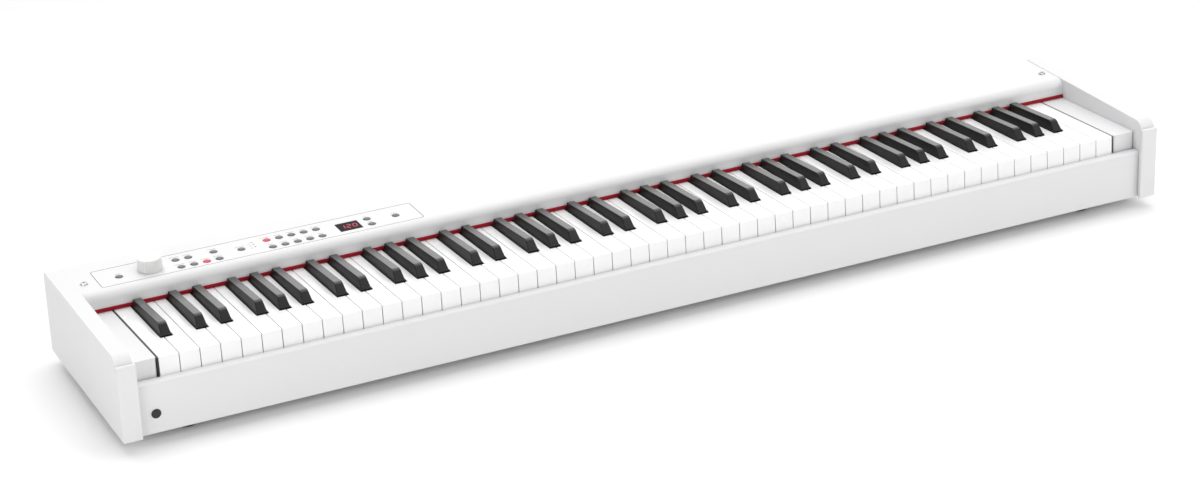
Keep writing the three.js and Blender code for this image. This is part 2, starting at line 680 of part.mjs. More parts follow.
addCheeks();
addBottomBoard();
addFeet();
addKeySlip();
addKeyBlocks();
addTopPanel();
addFelt();
addRearPanels();
addKeyFrame();
addKeys();
addButtons();
addKnob();
addDisplay();
addScrews();
addBoards();
addHeadphoneJack();
addRearSockets();

export default piano;
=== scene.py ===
"""The looks of a slim 88-key digital piano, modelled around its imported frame."""

import json
import math

import bmesh
import bpy
from mathutils import Matrix, Vector


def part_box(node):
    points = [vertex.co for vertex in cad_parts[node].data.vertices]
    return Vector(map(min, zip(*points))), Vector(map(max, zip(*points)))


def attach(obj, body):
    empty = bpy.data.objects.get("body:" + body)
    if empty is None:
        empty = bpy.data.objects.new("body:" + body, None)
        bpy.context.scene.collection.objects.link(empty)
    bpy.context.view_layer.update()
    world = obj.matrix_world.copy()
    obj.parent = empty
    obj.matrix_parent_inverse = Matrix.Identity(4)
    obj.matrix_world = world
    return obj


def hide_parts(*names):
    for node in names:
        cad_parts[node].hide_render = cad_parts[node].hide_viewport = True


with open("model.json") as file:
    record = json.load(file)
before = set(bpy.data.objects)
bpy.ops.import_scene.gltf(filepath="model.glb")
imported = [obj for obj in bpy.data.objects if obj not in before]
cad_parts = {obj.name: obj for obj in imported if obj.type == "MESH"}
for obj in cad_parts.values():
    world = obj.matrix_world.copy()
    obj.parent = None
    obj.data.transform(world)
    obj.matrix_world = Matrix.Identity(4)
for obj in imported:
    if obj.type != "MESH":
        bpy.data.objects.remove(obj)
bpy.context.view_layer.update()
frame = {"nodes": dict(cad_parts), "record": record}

bl_info = {
    "name": "Slim Digital Piano",
    "version": (1, 0, 0),
    "blender": (4, 5, 0),
    "location": "View3D > Sidebar > Piano",
    "description": "Models the case, keys and controls of a slim digital piano",
    "category": "Object",
}

MM = 0.001

# ---- Places read from the frame ----


def corner(node, side):
    """The lowest (side 0) or highest (side 1) corner of a node at rest."""
    return Vector(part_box(node)[side])


def span(node):
    """Both corners of a node at rest, the lowest first."""
    return corner(node, 0), corner(node, 1)


def middle(node):
    return sum(span(node), Vector()) / 2


LIP_Y = corner("top_panel", 0).y
PANEL_HIGH = corner("top_panel", 1)
PANEL_TOP = PANEL_HIGH.z
CHEEK_INSIDE = corner("left_cheek", 1).x
RIGHT_INSIDE = corner("right_cheek", 0).x
WHITE_KEYS = 52
KEY_GAP = 0.8 * MM
SET_MARGIN = 0.5 * MM  # between the frame's keys and the pitch lines
FIRST_EDGE = corner("white_keys_a0_b1", 0).x - SET_MARGIN
LAST_EDGE = corner("white_keys_c7_c8", 1).x + SET_MARGIN
KEY_PITCH = (LAST_EDGE - FIRST_EDGE) / WHITE_KEYS
KEY_SLOPE = 0.055
KEY_HEAD = 49.5 * MM
KEY_DEPTH = 24 * MM
KEY_SHOWN = 153 * MM
KEY_STICK = 8 * MM
KEY_TOP = corner("white_key_c4", 1).z
KEY_FRONT = corner("white_key_c4", 0).y + KEY_DEPTH * math.sin(KEY_SLOPE)
HINGE_Y = frame["record"]["behaviour"]["joints"][0]["pos_m"][1]
KEY_LENGTH = (HINGE_Y - KEY_FRONT) / math.cos(KEY_SLOPE) - 3 * MM
BLACK_WIDTH = 13.4 * MM
BLACK_SIDE_GAP = 0.7 * MM
BLACK_SETBACK = 2.6 * MM  # from the end of the white head to the black key's front
BLACK_FRONT = KEY_HEAD + BLACK_SETBACK
BLACK_BACK = KEY_SHOWN - 1 * MM
BLACK_DEPTH = 14 * MM
KEY_PLACE = (
    Matrix.Translation((0, KEY_FRONT, KEY_TOP)) @ Matrix.Rotation(-KEY_SLOPE, 4, "X")
)
FELT_BOTTOM = corner("felt_strip", 0).z - 0.8 * MM
FELT_TOP = FELT_BOTTOM + 3.9 * MM

LETTERS = "abcdefg"
# How far the black key right of each letter stands off the line between its white keys.
BLACK_SHIFT = {"a": 3.2 * MM, "c": -2.6 * MM, "d": 2.4 * MM, "f": -3.3 * MM, "g": 0.0}

# ---- Settings a user would change ----


class PianoFinish(bpy.types.PropertyGroup):
    """Colours and edge sizes of the piano."""

    case_colour: bpy.props.FloatVectorProperty(
        name="Case", description="Colour of the painted case", subtype="COLOR", size=3,
        min=0, max=1, default=(0.74, 0.737, 0.745))
    white_colour: bpy.props.FloatVectorProperty(
        name="White keys", description="Colour of the white keys", subtype="COLOR", size=3,
        min=0, max=1, default=(0.90, 0.893, 0.895))
    black_colour: bpy.props.FloatVectorProperty(
        name="Black keys", description="Colour of the black keys", subtype="COLOR", size=3,
        min=0, max=1, default=(0.008, 0.008, 0.0076))
    felt_colour: bpy.props.FloatVectorProperty(
        name="Felt", description="Colour of the strip behind the keys", subtype="COLOR", size=3,
        min=0, max=1, default=(0.34, 0.005, 0.016))
    case_edge: bpy.props.FloatProperty(
        name="Case edge", description="Rounding of the case's sharp edges", unit="LENGTH",
        min=0.0002, max=0.003, default=0.001)
    key_edge: bpy.props.FloatProperty(
        name="Key edge", description="Rounding of the keys' edges", unit="LENGTH",
        min=0.0001, max=0.0015, default=0.0007)


class PianoStage(bpy.types.PropertyGroup):
    """Light and floor around the piano."""

    floor_colour: bpy.props.FloatVectorProperty(
        name="Floor", description="Colour of the floor", subtype="COLOR", size=3,
        min=0, max=1, default=(0.93, 0.93, 0.93))
    sky_strength: bpy.props.FloatProperty(
        name="Surround", description="Strength of the light from all around", min=0, max=5,
        default=0.34)
    backdrop_strength: bpy.props.FloatProperty(
        name="Backdrop", description="Extra strength of the light from above and behind",
        min=0, max=5, default=1.25)
    top_power: bpy.props.FloatProperty(
        name="Top light", description="Power of the light overhead", unit="POWER", min=0,
        max=500, default=34)
    front_power: bpy.props.FloatProperty(
        name="Front light", description="Power of the low light in front, to the right",
        unit="POWER", min=0, max=500, default=24)
    fill_power: bpy.props.FloatProperty(
        name="Fill light", description="Power of the soft light straight in front",
        unit="POWER", min=0, max=500, default=12)
    side_power: bpy.props.FloatProperty(
        name="Side light", description="Power of the light beside the piano", unit="POWER",
        min=0, max=500, default=4.2)


# ---- Modelling by hand ----


def clear_selection():
    if bpy.context.object and bpy.context.object.mode != "OBJECT":
        bpy.ops.object.mode_set(mode="OBJECT")
    bpy.ops.object.select_all(action="DESELECT")


def take(piece):
    """Selects one piece alone and makes it active."""
    clear_selection()
    piece.select_set(True)
    bpy.context.view_layer.objects.active = piece
    return piece


def settle(name):
    """Names the object just added and moves its place into its mesh."""
    piece = bpy.context.object
    piece.name = name
    piece.data.name = name
    bpy.ops.object.transform_apply(location=True, rotation=True, scale=True)
    return piece


def add_block(name, low, high):
    clear_selection()
    low, high = Vector(low), Vector(high)
    bpy.ops.mesh.primitive_cube_add(size=1, location=(low + high) / 2, scale=high - low)
    return settle(name)


def add_disc(name, centre, radius, height, sides=48, axis="Z"):
    """A cylinder whose lower end is at the centre given, along Z or towards -Y."""
    clear_selection()
    along = Vector((0, 0, 1)) if axis == "Z" else Vector((0, -1, 0))
    turn = (0, 0, 0) if axis == "Z" else (math.radians(90), 0, 0)
    bpy.ops.mesh.primitive_cylinder_add(
        vertices=sides, radius=radius, depth=height, rotation=turn,
        location=Vector(centre) + along * height / 2)
    return settle(name)


class Shaping:
    """Edit mode on one piece, where parts are picked by their place or direction."""

    def __init__(self, piece):
        self.piece = piece

    def __enter__(self):
        take(self.piece)
        bpy.ops.object.mode_set(mode="EDIT")
        return self

    def __exit__(self, *unused):
        bpy.ops.object.mode_set(mode="OBJECT")

    def pick(self, kind, test):
        """Selects the faces, edges or vertices for which the test holds."""
        bpy.ops.mesh.select_mode(type=kind)
        bpy.ops.mesh.select_all(action="DESELECT")
        work = bmesh.from_edit_mesh(self.piece.data)
        for item in {"VERT": work.verts, "EDGE": work.edges, "FACE": work.faces}[kind]:
            if test(item):
                item.select_set(True)
        bmesh.update_edit_mesh(self.piece.data)

    def faces(self, direction, limit=None):
        """Selects the faces that look one way, where a test on their centre holds."""
        aim = Vector(direction)
        self.pick("FACE", lambda f: f.normal.dot(aim) > 0.9
                  and (limit is None or limit(f.calc_center_median())))

    def cut(self, place, normal):
        bpy.ops.mesh.select_all(action="SELECT")
        bpy.ops.mesh.bisect(plane_co=place, plane_no=normal)

    def extrude(self, move):
        bpy.ops.mesh.extrude_region_move(TRANSFORM_OT_translate={"value": move})

    def round(self, radius, steps=6):
        """Rounds the edges that are selected."""
        bpy.ops.mesh.bevel(offset=radius, segments=steps, affect="EDGES", profile=0.5)

    def shrink(self, factors):
        bpy.ops.transform.resize(value=factors)

    def slide(self, move):
        bpy.ops.transform.translate(value=move)

    def tidy(self):
        """Merges faces that lie in one plane."""
        bpy.ops.mesh.select_all(action="SELECT")
        bpy.ops.mesh.dissolve_limited(angle_limit=math.radians(0.5))


def edge_middle(edge):
    return (edge.verts[0].co + edge.verts[1].co) / 2


def edge_runs(edge, axis):
    span = edge.verts[1].co - edge.verts[0].co
    return abs(span[axis]) > 0.99 * span.length


def apply_modifier(piece, kind, **settings):
    take(piece)
    modifier = piece.modifiers.new(kind.lower(), kind)
    for key, value in settings.items():
        setattr(modifier, key, value)
    bpy.ops.object.modifier_apply(modifier=modifier.name)


def soften(piece, width, steps=2, smooth=40, flat=True):
    """Rounds every sharp edge a little and shades the curves smooth and the faces flat."""
    apply_modifier(piece, "BEVEL", width=width, segments=steps, limit_method="ANGLE",
                   angle_limit=math.radians(30), use_clamp_overlap=True)
    take(piece)
    bpy.ops.object.shade_smooth_by_angle(angle=math.radians(smooth))
    if flat:
        apply_modifier(piece, "WEIGHTED_NORMAL", keep_sharp=True, weight=80)


def subtract(piece, cutters):
    """Cuts the cutters out of a piece and removes them."""
    joined = join(cutters, "cutter")
    apply_modifier(piece, "BOOLEAN", operation="DIFFERENCE", object=joined, solver="EXACT")
    bpy.data.objects.remove(joined)


def join(parts, name):
    take(parts[0])
    for part in parts[1:]:
        part.select_set(True)
    if len(parts) > 1:
        bpy.ops.object.join()
    parts[0].name = name
    return parts[0]


def add_tube(name, near, outer, inner, length):
    """A tube along Y whose near end has its middle at the point given."""
    far = Vector(near) + Vector((0, length, 0))
    tube = add_disc(name, far, outer, length, 64, "Y")
    with Shaping(tube) as shape:
        shape.pick("FACE", lambda f: abs(f.normal.y) > 0.9)
        bpy.ops.mesh.delete(type="FACE")
    apply_modifier(tube, "SOLIDIFY", thickness=outer - inner, offset=-1, use_even_offset=True)
    return tube


def copy_of(piece, name, place=Matrix.Identity(4)):
    """A copy with its own mesh, moved to its place."""
    made = piece.copy()
    made.data = piece.data.copy()
    made.name = name
    made.data.name = name
    made.data.transform(place)
    bpy.context.collection.objects.link(made)
    return made


def dress(piece, material, body="case", stands_for=()):
    """Gives a piece its material and ties it to the frame."""
    piece.data.materials.clear()
    piece.data.materials.append(material)
    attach(piece, body)
    if stands_for:
        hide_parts(*stands_for)
    return piece


# ---- Shader expressions ----


class Value:
    """What flows out of a node; + - * and ** add Math nodes."""

    def __init__(self, nodes, socket):
        self.nodes = nodes
        self.socket = socket

    def __add__(self, other):
        return self.nodes.math("ADD", self, other)

    __radd__ = __add__

    def __sub__(self, other):
        return self.nodes.math("SUBTRACT", self, other)

    def __rsub__(self, other):
        return self.nodes.math("SUBTRACT", other, self)

    def __mul__(self, other):
        return self.nodes.math("MULTIPLY", self, other)

    __rmul__ = __mul__

    def __pow__(self, other):
        return self.nodes.math("POWER", self, other)


class Nodes:
    """A node tree while it is being made."""

    def __init__(self, tree):
        self.tree = tree

    def node(self, kind, settings=None, inputs=None, output=0):
        """Adds a node, with its settings first and then what goes into its sockets."""
        made = self.tree.nodes.new(kind)
        for key, value in (settings or {}).items():
            if key == "stops":
                self.set_stops(made.color_ramp, value)
            else:
                setattr(made, key, value)
        for key, value in (inputs or {}).items():
            self.feed(made.inputs[key], value)
        return Value(self, made.outputs[output])

    def math(self, operation, first, second):
        return self.node("ShaderNodeMath", {"operation": operation}, {0: first, 1: second})

    @staticmethod
    def set_stops(ramp, stops):
        for _ in stops[2:]:
            ramp.elements.new(0.5)
        for element, (at, grey) in zip(ramp.elements, stops):
            element.position = at
            element.color = (grey, grey, grey, 1)

    def feed(self, socket, value):
        if isinstance(value, Value):
            self.tree.links.new(value.socket, socket)
        else:
            socket.default_value = value


class Finish(Nodes):
    """A material while it is being made."""

    def __init__(self, name, **fixed):
        self.material = bpy.data.materials.new(name)
        self.material.use_nodes = True
        super().__init__(self.material.node_tree)
        self.shader = self.tree.nodes["Principled BSDF"]
        self.where = self.node("ShaderNodeTexCoord", output="Object")
        for key, value in fixed.items():
            self.set(key.replace("_", " ").title().replace("Ior", "IOR"), value)

    def set(self, name, value):
        if isinstance(value, (tuple, list)) and len(value) == 3:
            value = (*value, 1)
        self.feed(self.shader.inputs[name], value)

    def noise(self, size, detail=2.0, roughness=0.5, stretch=(1, 1, 1)):
        """Noise from 0 to 1 whose grains are about the size given, in metres."""
        place = self.where
        if stretch != (1, 1, 1):
            place = self.node("ShaderNodeMapping", None, {"Vector": place, "Scale": stretch})
        return self.node("ShaderNodeTexNoise", None, {
            "Vector": place, "Scale": 1 / size, "Detail": detail, "Roughness": roughness})

    def ramp(self, value, *stops):
        return self.node("ShaderNodeValToRGB", {"stops": stops}, {"Fac": value})

    def mix(self, factor, first, second):
        """A colour between two, by a factor from 0 to 1."""
        pair = [v if isinstance(v, Value) or len(v) == 4 else (*v, 1) for v in (first, second)]
        return self.node("ShaderNodeMix", {"data_type": "RGBA"},
                         {0: factor, 6: pair[0], 7: pair[1]}, output=2)

    def bump(self, height, strength, distance):
        made = self.node("ShaderNodeBump", None, {
            "Height": height, "Strength": strength, "Distance": distance})
        self.set("Normal", made)


def shade(colour, factor):
    return tuple(min(1.0, part * factor) for part in colour)


# ---- Finishes ----


def satin_paint(name, colour, roughness=0.42):
    """Sprayed paint: a faint orange peel and a slight change of gloss."""
    finish = Finish(name)
    cloud = finish.noise(0.12, 3)
    peel = finish.noise(0.0016, 2)
    finish.set("Base Color", finish.mix(cloud, shade(colour, 0.985), shade(colour, 1.01)))
    finish.set("Roughness", roughness - 0.04 + 0.08 * finish.noise(0.03, 3))
    finish.bump(peel, 0.06, 0.0002)
    return finish.material


def key_plastic(name, colour):
    """Moulded keys: glossy, with the faintest flow marks."""
    finish = Finish(name, coat_roughness=0.08)
    flow = finish.noise(0.05, 3, 0.6, (1, 0.25, 1))
    finish.set("Base Color", finish.mix(flow, shade(colour, 0.985), shade(colour, 1.01)))
    finish.set("Roughness", 0.2 + 0.1 * finish.noise(0.02, 3))
    finish.set("Coat Weight", 0.35)
    finish.bump(finish.noise(0.006, 2), 0.03, 0.0003)
    return finish.material


def black_key_plastic(name, colour):
    """Ebony-like keys: dull smooth sides, and a grained, glossier top whose lighter colour is a
    painted highlight, set by how far each face looks up.
    """
    finish = Finish(name, specular_ior_level=0.3, coat_roughness=0.22)
    normal = finish.node("ShaderNodeNewGeometry", output="Normal")
    upward = finish.node("ShaderNodeSeparateXYZ", None, {0: normal}, output="Z")
    # Mask of the faces that look up, used for the painted highlight on the tops.
    top = finish.math("MAXIMUM", upward, 0.0) ** 6
    grain = finish.noise(0.0012, 4, 0.6, (1, 0.12, 1))
    speck = finish.noise(0.0005, 2)
    worn = finish.noise(0.02, 3)
    # Tops: real grain, plus a painted highlight up to 4.5 times the base colour. Sides: painted
    # shade at 0.7 of it.
    grain_and_painted_top_light = finish.mix(grain, shade(colour, 0.9), shade(colour, 4.5))
    finish.set("Base Color", finish.mix(top, shade(colour, 0.7), grain_and_painted_top_light))
    finish.set("Roughness", 0.3 + 0.1 * worn + 0.1 * speck)
    finish.set("Coat Weight", 0.8 * top)
    finish.bump(grain + 0.6 * speck, 0.25, 0.0003)
    return finish.material


def felt(name, colour):
    """Pressed wool felt: matted fibres and a soft nap."""
    finish = Finish(name, sheen_weight=0.12, sheen_roughness=0.5, specular_ior_level=0.2)
    fibre = finish.noise(0.0006, 5, 0.7, (0.35, 1, 1))
    clump = finish.noise(0.005, 3)
    finish.set("Base Color", finish.mix(
        0.6 * fibre + 0.4 * clump, shade(colour, 0.55), shade(colour, 1.35)))
    finish.set("Roughness", 0.9 + 0.08 * fibre)
    finish.bump(fibre + 0.5 * clump, 0.6, 0.0005)
    return finish.material


def rubber(name):
    finish = Finish(name)
    grain = finish.noise(0.0009, 3)
    dust = finish.ramp(finish.noise(0.012, 4), (0.45, 0.0), (0.75, 1.0))
    finish.set("Base Color", finish.mix(0.25 * dust, (0.028, 0.028, 0.03), (0.09, 0.09, 0.09)))
    finish.set("Roughness", 0.68 + 0.2 * grain)
    finish.bump(grain, 0.25, 0.0003)
    return finish.material


def milky_plastic(name):
    """The knob's cloudy moulding."""
    finish = Finish(name, subsurface_weight=0.35, subsurface_scale=0.008, coat_roughness=0.15)
    cloud = finish.noise(0.012, 3)
    finish.set("Base Color", finish.mix(cloud, (0.74, 0.74, 0.72), (0.82, 0.82, 0.80)))
    finish.set("Roughness", 0.3 + 0.1 * finish.noise(0.004, 3))
    finish.set("Coat Weight", 0.3)
    finish.shader.inputs["Subsurface Radius"].default_value = (1, 1, 0.9)
    finish.bump(finish.noise(0.002, 2), 0.04, 0.0002)
    return finish.material


def button_plastic(name, low, high, glow=0.0):
    """Small smoked domes; a lit one glows through."""
    finish = Finish(name, coat_roughness=0.12)
    cloud = finish.noise(0.003, 3)
    colour = finish.mix(cloud, low, high)
    finish.set("Base Color", colour)
    finish.set("Roughness", 0.28 + 0.12 * finish.noise(0.001, 2))
    finish.set("Coat Weight", 0.4)
    if glow:
        finish.set("Emission Color", colour)
        finish.set("Emission Strength", glow)
    finish.bump(cloud, 0.05, 0.0002)
    return finish.material


def glossy_dark(name, colour, roughness=0.3):
    """Dark film over the display, with faint smears."""
    finish = Finish(name, specular_ior_level=0.05)
    smear = finish.noise(0.008, 4, 0.6, (1, 0.4, 1))
    finish.set("Base Color", finish.mix(smear, shade(colour, 0.8), shade(colour, 1.3)))
    finish.set("Roughness", roughness + 0.08 * smear)
    return finish.material


def glowing_digit(name, colour, strength):
    finish = Finish(name)
    finish.set("Base Color", (0.2, 0.02, 0.03))
    finish.set("Emission Color", finish.mix(
        finish.noise(0.001, 2), shade(colour, 0.9), shade(colour, 1.1)))
    finish.set("Emission Strength", strength)
    finish.set("Roughness", 0.5)
    return finish.material


def ink(name, colour):
    """Screen-printed lines with slightly uneven cover."""
    finish = Finish(name)
    cover = finish.noise(0.0008, 3)
    finish.set("Base Color", finish.mix(cover, shade(colour, 0.85), shade(colour, 1.2)))
    finish.set("Roughness", 0.5 + 0.1 * cover)
    return finish.material


def satin_plastic(name, colour, roughness=0.45, grain=0.0007):
    """Moulded plastic with a fine spark texture."""
    finish = Finish(name)
    spark = finish.noise(grain, 3)
    finish.set("Base Color", finish.mix(spark, shade(colour, 0.85), shade(colour, 1.2)))
    finish.set("Roughness", roughness - 0.05 + 0.12 * spark)
    finish.bump(spark, 0.15, 0.0002)
    return finish.material


def plated_steel(name, stretch=(1, 1, 1)):
    """Zinc-plated steel with fine brushing."""
    finish = Finish(name, metallic=1.0)
    brush = finish.noise(0.0009, 3, 0.6, stretch)
    finish.set("Base Color", finish.mix(brush, (0.46, 0.47, 0.49), (0.64, 0.65, 0.67)))
    finish.set("Roughness", 0.24 + 0.14 * brush)
    finish.bump(brush, 0.08, 0.0001)
    return finish.material


def circuit_board(name):
    """Green lacquer over copper tracks."""
    finish = Finish(name)
    tracks = finish.node("ShaderNodeTexBrick", {"offset": 0.5}, {
        "Vector": finish.where, "Scale": 90.0, "Mortar Size": 0.06, "Mortar Smooth": 0.1,
        "Color1": (0, 0, 0, 1), "Color2": (0.2, 0.2, 0.2, 1), "Mortar": (1, 1, 1, 1)})
    finish.set("Base Color", finish.mix(tracks, (0.008, 0.07, 0.03), (0.03, 0.17, 0.06)))
    finish.set("Roughness", 0.34 + 0.1 * finish.noise(0.01, 3))
    finish.bump(tracks, 0.2, 0.0001)
    return finish.material


def floor_paper(name, colour):
    finish = Finish(name)
    fibre = finish.noise(0.004, 4)
    finish.set("Base Color", finish.mix(fibre, shade(colour, 0.995), shade(colour, 1.005)))
    finish.set("Roughness", 0.85 + 0.1 * fibre)
    return finish.material


FINISHES = {}


def make_finishes():
    """Makes every finish once, from the scene's settings."""
    chosen = bpy.context.scene.piano_finish
    case = tuple(chosen.case_colour)
    FINISHES.update(
        case=satin_paint("satin white paint", case),
        board=satin_paint("white board paint", case, 0.46),
        white_key=key_plastic("white key plastic", tuple(chosen.white_colour)),
        black_key=black_key_plastic("black key plastic", tuple(chosen.black_colour)),
        felt=felt("red felt", tuple(chosen.felt_colour)),
        rubber=rubber("foot rubber"),
        knob=milky_plastic("milky knob plastic"),
        button=button_plastic("smoked button plastic", (0.085, 0.087, 0.09), (0.15, 0.153, 0.158)),
        lit=button_plastic("lit button plastic", (0.42, 0.016, 0.05), (0.52, 0.03, 0.075), 0.3),
        glass=glossy_dark("display film", (0.005, 0.002, 0.003)),
        digit=glowing_digit("display digits", (1.0, 0.06, 0.17), 0.75),
        unlit=glossy_dark("unlit segments", (0.022, 0.007, 0.009), 0.4),
        ink=ink("grey print", (0.07, 0.07, 0.075)),
        pale=satin_paint("pale pointer paint", (0.9, 0.9, 0.89)),
        lamp=button_plastic("unlit lamps", (0.05, 0.05, 0.052), (0.09, 0.09, 0.092)),
        socket=satin_plastic("socket plastic", (0.014, 0.014, 0.015)),
        frame=satin_plastic("frame plastic", (0.2, 0.2, 0.21), 0.55),
        steel=plated_steel("plated steel"),
        turned=plated_steel("turned steel", (1, 0.2, 1)),
        circuit=circuit_board("circuit board lacquer"),
        floor=floor_paper("floor paper", tuple(bpy.context.scene.piano_stage.floor_colour)),
    )


# ---- Case ----

CHEEK_FRONT_ROUND = 14 * MM
CHEEK_REAR_ROUND = 5 * MM
RAIL_ROUND = 3 * MM
RAIL_HOLE = 4.6 * MM
BLOCK_HEIGHT = 46 * MM  # of the part behind the block's leg
BLOCK_LEG = 46 * MM
BLOCK_ROUND = 4.2 * MM
LIP_ROUND = 10 * MM
PANEL_SHEET = 3 * MM
HOLE_START = -20 * MM  # below the panel's top
HOLE_LENGTH = 25 * MM
BUTTON_HOLE = 4.7 * MM
KNOB_HOLE = 3.4 * MM
SCREW_HOLE = 2.3 * MM
FOOT_HOLLOW = 1.2 * MM
FOOT_RIM = 4 * MM


def round_edges_at(piece, axis, radius, test, steps=8):
    """Rounds the edges that run along an axis where a test on their middle holds."""
    with Shaping(piece) as shape:
        shape.pick("EDGE", lambda e: edge_runs(e, axis) and test(edge_middle(e)))
        shape.round(radius, steps)


class PIANO_OT_cheeks(bpy.types.Operator):
    """Model the end boards and the posts in front of them"""
    bl_idname = "piano.cheeks"
    bl_label = "Cheeks"

    def execute(self, context):
        edge = context.scene.piano_finish.case_edge
        for side in ("left", "right"):
            low, high = span(f"{side}_cheek")
            board = add_block(f"{side}_end_board", low, high)
            centre = (low + high) / 2
            round_edges_at(board, 0, CHEEK_FRONT_ROUND,
                           lambda p: p.z > centre.z and p.y < centre.y, 12)
            round_edges_at(board, 0, CHEEK_REAR_ROUND, lambda p: p.y > centre.y)
            soften(board, edge, 3)
            dress(board, FINISHES["board"], stands_for=[f"{side}_cheek"])
            name = f"{side}_corner_post"
            post = add_block(f"{side}_front_post", *span(name))
            soften(post, edge * 1.2, 3)
            dress(post, FINISHES["case"], stands_for=[name])
        return {"FINISHED"}


class PIANO_OT_front_rail(bpy.types.Operator):
    """Model the rail in front of the keys, with its hole for the headphone socket"""
    bl_idname = "piano.front_rail"
    bl_label = "Front rail"

    def execute(self, context):
        low, high = span("key_slip")
        rail = add_block("front_rail", low, high)
        round_edges_at(rail, 0, RAIL_ROUND, lambda p: p.z > high.z - MM and p.y < low.y + MM)
        jack = middle("headphone_jack")
        start = (jack.x, high.y + 5 * MM, jack.z)
        subtract(rail, [add_disc("hole", start, RAIL_HOLE, 30 * MM, 48, "Y")])
        soften(rail, 0.4 * MM)
        dress(rail, FINISHES["case"], stands_for=["key_slip"])
        return {"FINISHED"}


class PIANO_OT_key_blocks(bpy.types.Operator):
    """Model the blocks that close the keyboard at each end"""
    bl_idname = "piano.key_blocks"
    bl_label = "Key blocks"

    def execute(self, context):
        for side in ("left", "right"):
            name = f"{side}_key_block"
            low, high = span(name)
            high.y = LIP_Y + MM
            shelf = high.z - BLOCK_HEIGHT
            leg = low.y + BLOCK_LEG
            block = add_block(f"{side}_end_block", (low.x, low.y, shelf), high)
            with Shaping(block) as shape:
                shape.pick("VERT", lambda v: v.co.z > shelf and v.co.y > leg)
                shape.slide((0, 0, -(high.y - low.y) * math.tan(KEY_SLOPE)))
                shape.cut((0, leg, 0), (0, 1, 0))
                shape.faces((0, 0, -1), lambda p: p.y > leg)
                shape.extrude((0, 0, low.z - shelf))
                shape.tidy()
                shape.pick("EDGE", lambda e: edge_runs(e, 2) and edge_middle(e).y < low.y + MM)
                shape.round(BLOCK_ROUND, 10)
            soften(block, 0.8 * MM, 3)
            dress(block, FINISHES["case"], stands_for=[name])
            self.gap_shade_strip(side, low.x if side == "right" else high.x)
        return {"FINISHED"}

    def gap_shade_strip(self, side, x):
        """A dark strip in the gap between the block and the end key, put there as painted shade in
        the gap.
        """
        out = 1 if side == "right" else -1
        edge = LAST_EDGE if side == "right" else FIRST_EDGE
        near, far = sorted((edge + out * 0.3 * MM, x))
        # A black strip as painted shade, where the gap would be shadowed.
        strip = add_block(f"{side}_end_liner", (near, MM, -22 * MM),
                          (far, KEY_SHOWN - MM, -1.2 * MM))
        strip.data.transform(KEY_PLACE)
        soften(strip, 0.2 * MM)
        dress(strip, FINISHES["socket"])


BUTTON_PITCH = 15.1
LOWER_ROW = 22
UPPER_ROW = 43
FIRST_FUNCTION = 121.5
FIRST_TONE = 231
# Where the buttons stand, in mm from the left cheek and the lip.
BUTTON_SETS = {
    "power_button": [(51.5, 32)],
    "function_buttons": [
        *((FIRST_FUNCTION + step * BUTTON_PITCH, LOWER_ROW) for step in (0, 1, 2, 3)),
        *((FIRST_FUNCTION + step * BUTTON_PITCH, UPPER_ROW) for step in (0, 1, 3)),
        (197, 33.5),
    ],
    "tone_buttons": [(FIRST_TONE + step * BUTTON_PITCH, row)
                     for step in range(5) for row in (UPPER_ROW, LOWER_ROW)],
    "value_buttons": [(353.8, 25), (353.8, 41)],
    "record_button": [(386.8, 33.7)],
}
LIT_BUTTONS = [(FIRST_FUNCTION + 2 * BUTTON_PITCH, LOWER_ROW), (FIRST_TONE, UPPER_ROW)]
BUTTON_RADIUS = 4.3 * MM
# The dome's rings: their share of the radius and their height in mm.
BUTTON_DOME = ((0.98, 0.22), (0.93, 0.45), (0.84, 0.68), (0.70, 0.93), (0.5, 1.15), (0.25, 1.3))


def on_panel(x, y, z=0.0):
    """A point given in mm from the left cheek and the lip, at a height above the panel."""
    return Vector((CHEEK_INSIDE + x * MM, LIP_Y + y * MM, PANEL_TOP + z * MM))


class PIANO_OT_top_panel(bpy.types.Operator):
    """Model the top panel as a folded sheet with openings for the controls"""
    bl_idname = "piano.top_panel"
    bl_label = "Top panel"

    def execute(self, context):
        low = (CHEEK_INSIDE, LIP_Y, FELT_TOP + 0.15 * MM)
        panel = add_block("upper_panel", low, (RIGHT_INSIDE, PANEL_HIGH.y, PANEL_TOP))
        with Shaping(panel) as shape:
            shape.pick("FACE", lambda f: f.normal.z < -0.9 or f.normal.y > 0.9
                       or abs(f.normal.x) > 0.9)
            bpy.ops.mesh.delete(type="FACE")
            shape.pick("EDGE", lambda e: edge_runs(e, 0) and len(e.link_faces) == 2)
            shape.round(LIP_ROUND, 14)
        apply_modifier(panel, "SOLIDIFY", thickness=PANEL_SHEET, offset=-1,
                       use_even_offset=True)
        cutters = [self.hole(on_panel(x, y), BUTTON_HOLE)
                   for places in BUTTON_SETS.values() for x, y in places]
        cutters.append(self.hole(middle("volume_knob"), KNOB_HOLE))
        cutters += [self.hole(middle(f"{side}_panel_screw"), SCREW_HOLE, 24)
                    for side in ("left", "right")]
        low, high = span("display_window")
        margin = Vector((0.3, 0.3, 5)) * MM
        cutters.append(add_block("hole", low - margin, high + margin))
        subtract(panel, cutters)
        soften(panel, 0.25 * MM)
        dress(panel, FINISHES["case"], stands_for=["top_panel"])
        return {"FINISHED"}

    @staticmethod
    def hole(spot, radius, sides=32):
        start = (spot.x, spot.y, PANEL_TOP + HOLE_START)
        return add_disc("hole", start, radius, HOLE_LENGTH, sides)


